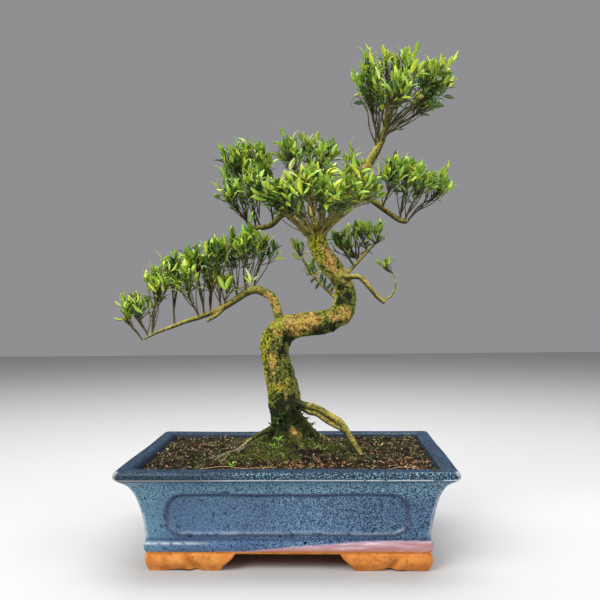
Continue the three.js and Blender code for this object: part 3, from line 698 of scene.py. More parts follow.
def lump(name, radii, seed):
    """A crumb: an uneven ball of twenty faces."""
    bpy.ops.mesh.primitive_ico_sphere_add(subdivisions=1, radius=1)
    ball = bpy.context.object
    ball.name = name
    chance, jag = np.random.default_rng(seed), 0.25
    for vertex in ball.data.vertices:
        stretch = 1 + jag * chance.uniform(-1, 1)
        vertex.co = [c * r * MM * stretch for c, r in zip(vertex.co, radii)]
    return ball


def shard(name, length, width, thick, seed):
    """A chip of bark: a bent flake with broken ends."""
    chance = np.random.default_rng(seed)
    points = []
    for x in (-0.5, -0.18, 0.2, 0.5):
        half = width * (0.35 + 0.65 * (1 - abs(x) * 1.3)) / 2
        bend = 0.25 * width * (x * x * 4 - 0.4)
        for y, z in ((-half, 0), (half, 0), (half * 0.8, thick), (-half * 0.8, thick)):
            broken = x * length + chance.normal(0, 0.05) * length
            points.append((broken, y * chance.uniform(0.7, 1.2), z + bend))
    return make_piece(name, points, closed_tube(4, 4))


golden_turn, third_turn = 2.4, 2.094


def tuft(name, blades, height, reach, width, seed):
    """A tuft of moss: three-sided blades that lean out from one root."""
    chance = np.random.default_rng(seed)
    points, faces = [], []
    for i in range(blades):
        turn = golden_turn * i + chance.uniform(-0.3, 0.3)
        lean = reach * (0.25 + 0.75 * (i / blades) ** 0.5)
        tall = height * chance.uniform(0.7, 1.1) * (1 - 0.35 * i / blades)
        root = np.array([cos(turn), sin(turn), 0]) * lean * 0.3
        tip = np.array([cos(turn) * lean, sin(turn) * lean, tall])
        middle = (root * 0.45 + tip * 0.55) + np.array([0, 0, 0.12 * tall])
        first = len(points)
        for place, half in ((root, width), (middle, width * 0.75)):
            for angle in (turn, turn + third_turn, turn + 2 * third_turn):
                points.append(place + np.array([cos(angle), sin(angle), 0]) * half)
        points.append(tip)
        for c, d in ((0, 1), (1, 2), (2, 0)):
            faces.append((first + c, first + d, first + 3 + d, first + 3 + c))
            faces.append((first + 3 + c, first + 3 + d, first + 6))
        faces.append((first + 2, first + 1, first))
    return make_piece(name, points, faces)


def ring_directions(ahead, side_way):
    right = side_way - ahead * (ahead @ side_way)
    right = right / np.linalg.norm(right)
    return right, np.cross(ahead, right)


def run_length(stations):
    return np.linalg.norm(np.diff(np.array(stations, float)[:, :3], axis=0), axis=1).sum()


def limb_tube(stations, sides, gap, lumps=0.0, side_way=(0, 1, 0)):
    """A closed tube along a smooth line through the stations, each x, y, z and radius."""
    line = through(stations, max(int(run_length(stations) / gap), 4))
    heading = np.gradient(line[:, :3], axis=0)
    heading /= np.linalg.norm(heading, axis=1)[:, None]
    angles = 2 * pi * np.arange(sides) / sides
    points = []
    for row, (station, ahead) in enumerate(zip(line, heading)):
        right, back = ring_directions(ahead, np.array(side_way, float))
        turn = 42 * row / len(line)
        wave = np.sin(3 * angles + 0.9 * turn) + 0.7 * np.sin(5 * angles - 0.6 * turn) + 0.8 * sin(1.7 * turn)
        radius = station[3] * (1 + lumps * wave)
        across, over = (radius * np.cos(angles))[:, None] * right, (radius * np.sin(angles))[:, None] * back
        points.append(station[:3] + across + over)
    return np.concatenate(points), closed_tube(len(line), sides)


def joined(parts):
    """Several shapes, each its points and faces, as one."""
    points, faces = [], []
    for part_points, part_faces in parts:
        faces += [tuple(len(points) + i for i in face) for face in part_faces]
        points += [tuple(point) for point in part_points]
    return points, faces


def fibre(name, length, girth, seed):
    """A thread of root or straw that wanders a little and lies on the soil."""
    chance = np.random.default_rng(seed)
    stations, heading, place = [], 0.0, np.array([-length / 2, 0.0, 0.6])
    for i in range(5):
        stations.append((*place, girth * (1 - 0.12 * i)))
        heading += chance.uniform(-0.6, 0.6)
        place = place + np.array([cos(heading), sin(heading), chance.uniform(-0.12, 0.12)]) * length / 4
    return make_piece(name, *limb_tube(through(stations, 9), 3, length / 9, side_way=(0, 0, 1)))


def growth_finish(name, darks, lights, roughness, size=1.0):
    """A speckled finish. Darks and lights are each the colour where the tint is 0, and where it is 1."""
    layer = Finish(name, specular_ior_level=0.12)
    tint, grain = layer.attribute("tint"), layer.clouds(size, 3, 0.65)
    tint = tint * tint * tint
    speckled = layer.mix(grain.between(0.38, 0.62), layer.mix(tint, *darks), layer.mix(tint, *lights))
    return layer.finish(speckled, roughness, grain, 0.25)


crumb_finish = growth_finish(
    "soil_crumbs", ((0.001, 0.001, 0.001), (0.040, 0.036, 0.016)),
    ((0.008, 0.006, 0.003), (0.950, 0.790, 0.480)), 0.9)
chip_finish = growth_finish(
    "bark_chips", ((0.008, 0.003, 0.002), (0.440, 0.170, 0.070)),
    ((0.055, 0.020, 0.009), (1.000, 0.600, 0.290)), 0.85)
moss_finish = growth_finish(
    "moss_tufts", ((0.003, 0.007, 0.001), (0.070, 0.100, 0.012)),
    ((0.020, 0.040, 0.006), (0.950, 0.980, 0.360)), 0.8, 1.6)
sprig_finish = growth_finish(
    "moss_sprigs", ((0.060, 0.110, 0.012), (0.200, 0.300, 0.040)),
    ((0.260, 0.420, 0.050), (0.720, 0.820, 0.220)), 0.7, 3.0)
grit_finish = growth_finish(
    "pale_grit", ((0.100, 0.080, 0.055), (0.300, 0.260, 0.200)),
    ((0.320, 0.260, 0.180), (0.780, 0.700, 0.560)), 0.8, 2.0)
fibre_finish = growth_finish(
    "dry_fibres", ((0.060, 0.035, 0.015), (0.200, 0.150, 0.070)),
    ((0.260, 0.170, 0.080), (0.720, 0.600, 0.360)), 0.8)

strewn = strewing_rule()
crumb, grit = lump("crumb", (1.0, 0.85, 0.7), 3), lump("grit", (1.3, 1.0, 0.8), 7)
chip = shard("chip", 5.6, 1.15, 0.45, 5)
cushion, sprig = tuft("cushion", 8, 2.9, 1.8, 0.26, 8), tuft("sprig", 4, 4.2, 2.8, 0.24, 21)
long_fibre, short_fibre = fibre("long_fibre", 15, 0.28, 4), fibre("short_fibre", 8, 0.26, 9)

# Each kind: its shape and mask, how many lie on a square metre, its least and greatest size, its tilt, its
# lift in metres, what is added to the mask, its seed and its finish.
for name, shape, mask, density, small, large, tilt, lift, floor, seed, surface in (
    ("soil_crumbs", crumb, "rust", 60000.0, 0.3, 1.5, 2.0, 0.0, 0.7, 11, crumb_finish),
    ("bark_chips", chip, "rust", 100000.0, 0.35, 1.3, 0.9, 0.0007, 0.015, 12, chip_finish),
    ("soil_moss", cushion, "moss", 80000.0, 0.4, 1.1, 0.3, -0.0002, -0.25, 13, moss_finish),
    ("moss_sprigs", sprig, "moss", 20000.0, 0.4, 1.1, 0.6, 0.0, 0.04, 18, sprig_finish),
    ("pale_grit", grit, "rust", 9000.0, 0.35, 1.2, 2.0, 0.0, 0.22, 19, grit_finish),
    ("long_fibres", long_fibre, "moss", 1500.0, 0.5, 1.2, 0.12, 0.0008, 0.5, 14, fibre_finish),
    ("short_fibres", short_fibre, "moss", 12000.0, 0.5, 1.2, 0.5, 0.0009, 0.25, 15, fibre_finish),
):
    layer = strewn.run(
        name, soil, Shape=shape, Mask=mask, Density=density, Small=small, Large=large, Tilt=tilt, Lift=lift,
        Floor=floor, Seed=seed, Surface=surface)
    put_on(layer, "soil")
throw_away(crumb, chip, sprig, grit, long_fibre, short_fibre)


# Straws and fine roots. Two dry straws lie by the pot's front wall, forked rootlets run out from the left
# surface root, and the tree's back roots show in part where they dip in and out of the soil.
def lying_lines(lines, sides=6):
    """Tubes that follow the soil: each station is x, y, its height over the soil and its radius."""
    lines = [[(x, y, soil_height(x, y) + over, girth) for x, y, over, girth in line] for line in lines]
    return joined(limb_tube(line, sides, 1.5, side_way=(0, 0, 1)) for line in lines)


straw_line = [
    (-92, -92, 2.0, 0.4), (-66, -95, 2.4, 0.4), (-46, -96, 1.7, 0.38), (-28, -97, 1.6, 0.35),
    (-10, -96, 0.6, 0.3),
]
twig_line = [(106, -90, 1.0, 0.3), (118, -87, 2.6, 0.4), (130, -87, 2.0, 0.4), (140, -91, 0.6, 0.3)]
fine_root_lines = [
    [(-52, -29, 1.6, 1.3), (-58, -40, 1.4, 0.9), (-54, -52, 0.2, 0.5)],
    [(-60, -34, 1.6, 1.3), (-70, -39, 2.2, 1.0), (-77, -50, 1.2, 0.8), (-84, -62, -0.6, 0.5)],
    [(-60, -34, 1.6, 1.2), (-67, -46, 1.8, 0.9), (-72, -58, 1.4, 0.8), (-80, -66, -0.6, 0.4)],
    [(-70, -39, 1.6, 0.9), (-84, -44, 1.6, 0.7), (-94, -54, -0.5, 0.4)],
]
back_root_lines, chance = [], np.random.default_rng(36)
for x, y in [(-40, 44), (-28, 36), (50, 42), (34, 34), (-58, 8), (-46, 10), (12, 46)]:
    for fork in range(3):
        heading = np.arctan2(y, x) + chance.uniform(-0.9, 0.9)
        line, girth = [], chance.uniform(0.7, 1.5)
        for over, thinner in ((0.9, 1.0), (1.1, 0.83), (0.5, 0.66), (0.7, 0.49), (-0.8, 0.32)):
            line.append((x, y, over * girth, girth * thinner))
            heading += chance.uniform(-0.55, 0.55)
            reach = chance.uniform(5, 10)
            x, y = np.clip(x + reach * cos(heading), -130, 130), np.clip(y + reach * sin(heading), -78, 78)
        back_root_lines.append(line)
        x, y = line[1][0], line[1][1]
straw_finish = growth_finish(
    "dry_straw", ((0.260, 0.150, 0.055), (0.300, 0.200, 0.100)),
    ((0.560, 0.380, 0.180), (0.600, 0.400, 0.200)), 0.7)
root_finish = growth_finish(
    "fine_root_skin", ((0.090, 0.070, 0.040), (0.200, 0.200, 0.100)),
    ((0.330, 0.270, 0.180), (0.500, 0.400, 0.300)), 0.8)
back_finish = growth_finish(
    "buried_root_skin", ((0.030, 0.026, 0.012), (0.200, 0.200, 0.100)),
    ((0.190, 0.150, 0.075), (0.500, 0.400, 0.300)), 0.85)
put_on(make_piece("straws", *lying_lines([straw_line, twig_line]), straw_finish), "soil")
put_on(make_piece("fine_roots", *lying_lines(fine_root_lines, 8), root_finish), "bark")
put_on(make_piece("buried_roots", *lying_lines(back_root_lines), back_finish), "bark")


# Seedlings and small ferns. Bright seedlings have come up by themselves in the moss and at the front wall,
# and small dark ferns root in the bark at the trunk's foot. Each has leaves round the top of a thin stem.
def leaf_shape(length, half, drop):
    """A leaf along +X: pointed, with a folded midrib, a curved back and a thin closed edge."""
    thick = 0.30
    shares = np.array([0.0, 0.14, 0.36, 0.60, 0.84, 1.0])
    widths = np.array([0.14, 0.54, 1.0, 0.94, 0.46, 0.03]) * half
    points, along, across = [], [], []
    for share, wide in zip(shares, widths):
        lift = length * 0.08 * sin(pi * share * 0.9) - drop * share**2
        fold = 0.26 * wide
        for y, z in ((-wide, fold), (0, thick * 0.5), (wide, fold), (0, -thick * 0.5)):
            points.append((share * length, y, z + lift))
            along.append(share)
            across.append(abs(y) / half)
    faces = [tuple(reversed(face)) for face in closed_tube(len(shares), 4)]
    return np.array(points), faces, {"along": along, "across": across}


def plant_sprout(name, x, y, stem, leaves, length, half, rise, surface, ground=None):
    ground = ground or soil_height(x, y)
    shape, leaf_faces, _ = leaf_shape(length, half, 0.5)
    parts = [limb_tube([(x, y, ground - 2, 0.5), (x - 0.5, y, ground + stem, 0.4)], 6, 2.0)]
    for i in range(leaves):
        turn, tilt = golden_turn * i + 0.4, rise * (1 - 0.5 * i / leaves)
        spread = shape @ np.array([[cos(tilt), 0, sin(tilt)], [0, 1, 0], [-sin(tilt), 0, cos(tilt)]])
        spread = spread @ np.array([[cos(turn), sin(turn), 0], [-sin(turn), cos(turn), 0], [0, 0, 1]])
        parts.append((spread + np.array([x - 0.5, y, ground + stem * (1 - 0.3 * i / leaves)]), leaf_faces))
    put_on(make_piece(name, *joined(parts), surface), "leaves")


young_finish = growth_finish(
    "young_growth", ((0.160, 0.360, 0.020), (0.2, 0.4, 0.1)),
    ((0.500, 0.760, 0.120), (0.5, 0.7, 0.1)), 0.45, 5.0)
fern_finish = growth_finish(
    "foot_growth", ((0.020, 0.080, 0.010), (0.1, 0.2, 0.1)),
    ((0.160, 0.360, 0.030), (0.2, 0.4, 0.1)), 0.5, 6.0)
plant_sprout("seedling", -12, -37, 8, 4, 7.0, 3.0, 0.5, young_finish)
plant_sprout("small_seedling", -18, -44, 4, 3, 5.5, 2.2, 0.5, young_finish)
plant_sprout("grass_sprout", -58, -90, 2, 9, 8.5, 1.0, 1.0, young_finish)
for name, x, y, z, length in (
    ("foot_fern_a", -14, -20, 143, 7.0),
    ("foot_fern_b", -21, -15, 137, 6.0),
    ("foot_fern_c", -8, -21, 149, 5.0),
    ("foot_fern_d", 19, -17, 143, 6.5),
    ("foot_fern_e", 26, -17, 137, 6.0),
    ("foot_fern_f", 14, -19, 149, 5.0),
):
    plant_sprout(name, x, y, 3, 7, length, 1.5, 0.6, fern_finish, z)


# Trunk, limbs and surface roots. One piece of living wood: an S-shaped trunk that carries its limbs, and
# roots that run over the soil, one of them as an arch. Its bark is flaky, with lichen, moss and bare patches.
# Its colour has painted light on the sides facing the light, and painted shade beneath and in hollows.
# Every line below runs through stations of x, y, z and radius in millimetres.
trunk_line = [
    (0, 0, 98, 24), (0, 0, 112, 23), (0, 0, 122, 21.5), (-4, 0, 140, 18.5), (-6, 0, 156, 17.8),
    (-8, 0, 171, 18.6), (-11, 0, 189, 17.2), (-15, 0, 207, 16), (-17, -1, 225, 16), (-14, -2, 241, 16.5),
    (-4, -3, 251, 15.5), (9, -4, 255, 14.2), (24, -4, 257, 13.6), (38, -4, 258, 13.2), (51, -3, 262, 13),
    (61, -2, 269, 12.8), (65, 0, 279, 12.2), (66, 1, 291, 11.6), (63, 2, 304, 11.3), (58, 2, 313, 11.4),
    (50, 2, 324, 11.6), (40, 2, 338, 11.3), (35, 2, 348, 11), (33, 2, 359, 11.2), (36, 3, 367, 9.5),
    (43, 4, 374, 7.5), (54, 6, 382, 6), (67, 10, 398, 5.6), (82, 12, 422, 5.6), (93, 12, 443, 5.5),
    (104, 12, 460, 4.8), (113, 12, 478, 3.9), (117, 12, 493, 3.1), (119, 12, 516, 2.2), (120, 13, 530, 1.4),
]
limb_lines = {
    "left": [
        (-8, 0, 250, 6), (-12, -4, 264, 5.4), (-16, -6, 278, 5.3), (-21, -8, 289, 5.2), (-31, -10, 295, 5),
        (-40, -10, 297, 4.6), (-51, -12, 293, 4.2), (-62, -14, 286, 4), (-73, -16, 279, 3.7),
        (-84, -18, 273, 3.3), (-95, -20, 269, 3), (-106, -20, 265, 2.7), (-120, -20, 261, 2.4),
        (-133, -20, 256, 2.1), (-147, -20, 251, 1.8), (-159, -20, 246, 1.5), (-171, -20, 240, 1),
    ],
    "left_stub": [(-74, -16, 278, 2.6), (-84, -20, 268, 2.3), (-95, -23, 261, 1.7)],
    "crown_left": [
        (30, 2, 362, 7), (19, 15, 369, 5), (5, 25, 384, 4.4), (-8, 30, 391, 4), (-24, 28, 377, 3.5),
        (-43, 25, 374, 2.6), (-54, 24, 382, 1.6),
    ],
    "crown_back": [
        (34, 4, 362, 6), (30, 22, 380, 4.2), (25, 34, 405, 3.2), (22, 40, 430, 2.3), (20, 42, 446, 1.5),
    ],
    "right": [
        (60, 8, 390, 4.5), (67, 11, 398, 4.2), (83, 14, 408, 3.5), (97, 16, 405, 3.2), (118, 18, 390, 3.1),
        (134, 18, 379, 2.9), (143, 18, 378, 2.1),
    ],
    "low_right": [
        (60, -2, 311, 4.4), (72, -8, 311, 3.3), (83, -14, 310, 3), (94, -16, 298, 2.8), (103, -16, 287, 2.6),
        (111, -16, 280, 2.3),
    ],
    "curl": [
        (108, -16, 283, 1.3), (118, -15, 288, 1.2), (123, -13, 297, 1.1), (124, -12, 306, 1),
        (121, -10, 315, 0.9),
    ],
    "back_right": [
        (60, 4, 312, 3.4), (69, 14, 317, 2.6), (75, 24, 323, 2.3), (90, 30, 339, 1.9), (104, 34, 353, 1.3),
    ],
    "back_left": [
        (60, 4, 284, 3.2), (52, 14, 290, 2.3), (34, 24, 308, 1.9), (21, 30, 324, 1.5), (14, 34, 340, 1.1),
    ],
}
root_lines = [
    [
        (0, -4, 168, 7), (12, -12, 163, 4.6), (28, -16, 160, 4.2), (37, -18, 156, 4), (49, -20, 149, 4),
        (58, -22, 143, 4.2), (64, -24, 135, 4), (70, -26, 125, 3.5), (76, -28, 116, 3), (82, -30, 106, 2.5),
        (85, -31, 97, 2),
    ],
    [(12, -12, 160, 3), (22, -17, 154, 2.3), (31, -19, 152, 2.2), (43, -21, 144, 2.2), (62, -24, 134, 2)],
    [
        (2, -12, 164, 3), (6, -17, 158, 2), (15, -20, 149, 1.7), (23, -22, 140, 1.5), (30, -23, 128, 1.4),
        (34, -24, 114, 1.2),
    ],
    [
        (-10, -2, 146, 8), (-21, -9, 135, 4.4), (-31, -12, 131, 2.9), (-43, -16, 125, 2.1),
        (-52, -22, 119, 1.8), (-60, -29, 114, 1.5), (-70, -37, 108, 1.3), (-84, -46, 102, 1.1),
    ],
    [(-6, 4, 138, 12), (-16, 21, 125, 7), (-25, 30, 119, 4.6), (-36, 38, 114, 3), (-42, 48, 107, 1.6)],
    [(4, 4, 138, 12), (23, 18, 125, 6.5), (32, 31, 118, 4.4), (45, 36, 111, 2.8), (54, 45, 104, 1.6)],
    [(2, -4, 136, 12), (8, -20, 124, 6.5), (13, -33, 118, 3.8), (20, -42, 112, 2.6), (21, -53, 106, 1.5)],
    [(-4, 0, 134, 13), (-24, 4, 122, 7.5), (-38, 3, 117, 4.4), (-49, 9, 111, 2.8), (-61, 8, 104, 1.6)],
]
# Where the bark is bare, dark or lichened: x, y, z and reach. A burl also has how far it swells.
bare_patches = [
    (8, -16, 256, 13), (26, -17, 260, 11), (62, -14, 268, 7), (67, -12, 266, 6), (52, -15, 264, 5),
    (48, -8, 330, 7), (52, -8, 320, 6), (46, -8, 340, 5), (40, -9, 346, 3), (-20, -17, 220, 4),
    (-20, -17, 213, 4), (-19, -17, 206, 4), (-19, -17, 200, 3), (-13, -18, 187, 4), (3, -21, 132, 8),
    (11, -21, 130, 7), (92, 6, 441, 8), (84, 6, 426, 7), (-12, -16, 246, 5), (-6, 17, 216, 11),
    (4, 17, 188, 8), (30, 12, 262, 12), (66, 12, 286, 6), (44, 14, 332, 9), (-4, 20, 150, 7),
    (-30, 8, 205, 6), (-15, -12, 275, 5), (-18, -13, 283, 5), (-25, -14, 291, 4),
]
dark_patches = [
    (-16, -16, 152, 12), (2, -20, 155, 10), (18, -14, 152, 9), (-14, -24, 124, 8), (22, -24, 122, 7),
    (0, -18, 168, 9), (36, -16, 250, 10), (44, -16, 254, 8), (-2, -18, 246, 7), (2, -15, 238, 9),
    (-8, -20, 164, 12), (6, -18, 158, 12), (62, -11, 300, 7), (58, -10, 284, 8), (52, -14, 250, 8),
    (-6, -18, 226, 8), (6, -14, 206, 8), (-10, -22, 140, 13), (22, -16, 134, 7), (14, -14, 180, 8),
    (34, -10, 250, 12), (70, -12, 290, 6), (-4, -14, 257, 4), (60, -16, 256, 6), (-3, -20, 147, 9),
    (10, -18, 143, 8), (-22, -8, 150, 9), (-10, 18, 170, 12), (10, 14, 238, 10), (52, 12, 266, 9),
    (56, 14, 306, 8), (0, 22, 136, 13), (38, 14, 348, 6),
]
lichen_patches = [
    (28, -6, 345, 12), (33, -10, 354, 10), (36, -9, 335, 10), (40, -8, 352, 6), (-30, -4, 228, 9),
    (-32, -2, 214, 8), (-26, -6, 198, 7), (-12, -18, 183, 7), (-5, -19, 187, 6), (-2, -19, 190, 5),
    (-22, -14, 183, 6), (12, -14, 246, 6), (90, 0, 430, 9), (56, -6, 316, 6), (-28, -4, 240, 7),
    (44, -16, 268, 5), (-22, -10, 172, 8), (52, -16, 262, 4), (-14, 16, 236, 11), (18, 12, 250, 7),
    (62, 12, 272, 8), (50, 14, 320, 7), (4, 20, 174, 8), (-24, 10, 198, 8),
]
burls = [
    (-34, -3, 232, 13, 1.6), (66, -11, 289, 4.5, 1.8), (70, -4, 268, 9, 1.5), (-2, -17, 176, 9, 1.2),
    (14, -8, 176, 10, 2.0), (-26, 2, 160, 12, 1.5), (30, -12, 366, 7, 1.6), (42, 8, 366, 8, 1.4),
    (-5, -14, 257, 6, 1.6), (-24, 6, 186, 11, 1.2), (50, -10, 330, 8, 1.2), (0, 16, 214, 11, 1.4),
    (40, 8, 246, 10, 1.4),
]
wood_lines = [trunk_line, *limb_lines.values(), *root_lines]
trunk_sides, trunk_gap, trunk_lumps = 40, 1.6, 0.03
limb_sides, limb_gap = 18, 1.2
grain_size, knot_hole, knot_reach, knot_depth = 0.96, (66, -12, 289), 2.1, 2.4


def patches(points, spots, ragged):
    """How far each point lies within the nearest spot, with a ragged edge, from 0 to 1."""
    cover = np.zeros(len(points))
    for x, y, z, reach in spots:
        away = np.linalg.norm(points - np.array([x, y, z]), axis=1) / reach
        cover = np.maximum(cover, 1.5 - away + 0.45 * ragged)
    return np.clip(cover, 0, 1)


def closeness(points, middle, reach):
    """1 for a point at the middle, and less the further off it is."""
    away = np.linalg.norm(points - np.array(middle), axis=1) / reach
    return np.exp(-away**2)


def finder(places):
    """Finds the nearest of many places."""
    tree = kdtree.KDTree(len(places))
    for i, place in enumerate(places):
        tree.insert(place, i)
    tree.balance()
    return tree


def nearest_girth(points):
    """The radius of the nearest limb at each point."""
    stations = np.concatenate([through(line, 90) for line in wood_lines])
    limbs = finder(stations[:, :3])
    return np.array([stations[limbs.find(point)[1]][3] for point in points])


def make_wood(surface):
    """All tubes grown into one skin, which is then roughened by how thick the wood is."""
    tubes = [limb_tube(trunk_line, trunk_sides, trunk_gap, trunk_lumps)]
    tubes += [limb_tube(line, limb_sides, limb_gap) for line in wood_lines[1:]]
    wood = make_piece("trunk_and_limbs", *joined(tubes), surface)
    merge = wood.modifiers.new("grown_together", "REMESH")
    merge.mode, merge.voxel_size = "VOXEL", grain_size * MM
    soften = wood.modifiers.new("soften", "SMOOTH")
    soften.factor, soften.iterations = 0.5, 4
    take_modifiers_in(wood)
    mesh = wood.data
    count = len(mesh.vertices)
    place, out = np.zeros(count * 3), np.zeros(count * 3)
    mesh.vertices.foreach_get("co", place)
    mesh.vertices.foreach_get("normal", out)
    place, out = place.reshape(-1, 3) / MM, out.reshape(-1, 3)
    x, y, z, upward = *place.T, out[:, 2]
    lumpy, scaly = rough(place, 9.0), rough(place + 90, 4.5, 2)
    flaky = rough(place * [1, 1, 0.6] + 40, 2.6)
    bare, dark = patches(place, bare_patches, lumpy), patches(place, dark_patches, lumpy)
    away, thick = np.hypot(x + 2, y), smooth(2.0, 12.0, nearest_girth(place))
    moss = 1.15 * smooth(182, 128, z) * smooth(58, 34, away) + 0.2 * smooth(-0.2, 0.9, upward)
    moss = np.clip(moss + 0.75 * dark - 0.9 * bare + 0.75 * lumpy - 0.05, 0, 1)
    # Lichen patches, and painted light: the sides that face the key light, up and to the front left.
    lichen_and_lit_side = 0.75 * smooth(-0.15, 0.95, out @ np.array([-0.75, -0.25, 0.61])) + 0.25 * lumpy
    lichen_and_lit_side = np.clip(np.maximum(lichen_and_lit_side, patches(place, lichen_patches, lumpy)), 0, 1)
    rooty = smooth(40, 62, away) * smooth(128, 118, z) * smooth(-20, -40, x)
    swell = sum(height * closeness(place, middle, reach) for *middle, reach, height in burls)
    hole = closeness(place, knot_hole, knot_reach)
    moved = 0.2 + thick * (1.1 * lumpy + 0.8 * scaly + 0.7 * flaky + swell) + 0.14 * flaky - knot_depth * hole
    mesh.vertices.foreach_set("co", ((place + out * moved[:, None]) * MM).ravel())
    mesh.update()
    mesh.polygons.foreach_set("use_smooth", [True] * len(mesh.polygons))
    note_on_points(mesh, {
        # The knot hole is darkened inside: its rot, and painted shade.
        "bare": bare, "dark": np.clip(dark + hole * 2, 0, 1), "moss": moss, "thick": thick, "lichen_and_lit_side": lichen_and_lit_side,
        "relief": scaly * 0.6 + flaky * 0.6, "rooty": rooty, "open": np.ones(count),
        # Painted shade: where the wood faces down.
        "underside_shade": smooth(0.45, -0.55, upward + 0.25 * lumpy),
    })
    mesh.materials.clear()
    mesh.materials.append(surface)
    return wood


def bark_finish():
    """Old bark on thick wood, young on thin; lichens, bare and dark patches, moss, painted light and shade.
    """
    bark = Finish("lichened_bark", specular_ior_level=0.15)
    bare, dark, moss, thick = (bark.attribute(name) for name in ("bare", "dark", "moss", "thick"))
    relief, lichen_and_lit_side, rooty, underside_shade = (bark.attribute(name) for name in ("relief", "lichen_and_lit_side", "rooty", "underside_shade"))
    grit, speck = bark.clouds(1.4, 2, 0.8), bark.clouds(2.6, 3, 0.75)
    flake, blotch = bark.clouds(4.0, 4, 0.75, bend=1.0), bark.clouds(11, 3, 0.6)
    yellow = bark.coats(
        bark.mix(speck.between(0.42, 0.58), (0.125, 0.145, 0.008), (0.460, 0.440, 0.016)),
        (grit.between(0.54, 0.62), (0.640, 0.620, 0.050)),
    )
    old = bark.coats(
        bark.mix(flake.between(0.45, 0.54), (0.026, 0.031, 0.007), (0.245, 0.245, 0.040)),
        (blotch.between(0.50, 0.58) * 0.6, (0.115, 0.165, 0.024)),
        # Lichen yellow, and painted light on the sides that face the key light.
        ((lichen_and_lit_side + (blotch - 0.5) * 1.4 + (flake - 0.5)).between(0.40, 0.72) * 0.9, yellow),
        (grit.between(0.53, 0.60) * 0.6, (0.520, 0.480, 0.110)),
        (speck.between(0.46, 0.40) * 0.9, (0.012, 0.015, 0.004)),
    )
    young = bark.coats(
        bark.mix(speck.between(0.42, 0.56), (0.120, 0.105, 0.022), (0.430, 0.370, 0.075)),
        (grit.between(0.55, 0.62) * 0.6, (0.560, 0.480, 0.150)),
        # Paler on lichen and, as painted light, on the sides that face the key light.
        (lichen_and_lit_side.between(0.25, 0.8) * 0.65, (0.560, 0.540, 0.100)),
        (blotch.between(0.48, 0.58) * 0.6, (0.600, 0.430, 0.110)),
        (speck.between(0.44, 0.38) * 0.7, (0.060, 0.048, 0.014)),
        # Painted shade: thin wood goes dark on its undersides.
        (underside_shade * 0.92, (0.024, 0.025, 0.008)),
    )
    pale = bark.mix(speck.between(0.42, 0.58), (0.120, 0.095, 0.055), (0.360, 0.300, 0.195))
    tan = bark.coats(
        bark.mix(flake.between(0.44, 0.54), (0.300, 0.145, 0.024), (0.560, 0.345, 0.070)),
        (blotch.between(0.50, 0.60) * 0.45, (0.440, 0.400, 0.045)),
        (grit.between(0.53, 0.61) * 0.75, (0.750, 0.590, 0.250)),
        (speck.between(0.47, 0.40) * 0.85, (0.075, 0.045, 0.010)),
    )
    green = bark.mix(grit.between(0.44, 0.58), (0.004, 0.010, 0.004), (0.062, 0.096, 0.018))
    shade = bark.coats(
        bark.mix(thick.between(0.04, 0.42), young, old),
        (rooty * 0.8, pale),
        ((bare + (speck - 0.5) * 2.6 + (blotch - 0.5)).between(0.35, 0.60), tan),
        ((moss + (speck - 0.5) * 2.4).between(0.45, 0.68) * 0.9, green),
        ((dark + (flake - 0.5) * 2.6 + (grit - 0.5)).between(0.62, 0.90) * 0.85, (0.008, 0.012, 0.005)),
        # Painted shade: dark in the hollows of the bark's relief, less on bare bark.
        (relief.between(-0.02, -0.40) * thick * (0.85 - bare * 0.45), (0.010, 0.011, 0.004)),
    )
    return bark.finish(shade, 0.85, flake * 0.7 + speck * 0.6 + grit * 0.35, 2.0)


wood = make_wood(bark_finish())
put_on(wood, "bark", "trunk")
trunk_moss = strewn.run(
    "trunk_moss", wood, Shape=cushion, Mask="moss", Density=60000.0, Small=0.3, Large=0.75, Tilt=0.4,
    Lift=-0.0002, Floor=-0.55, Seed=17, Surface=moss_finish)
put_on(trunk_moss, "bark")
throw_away(cushion)


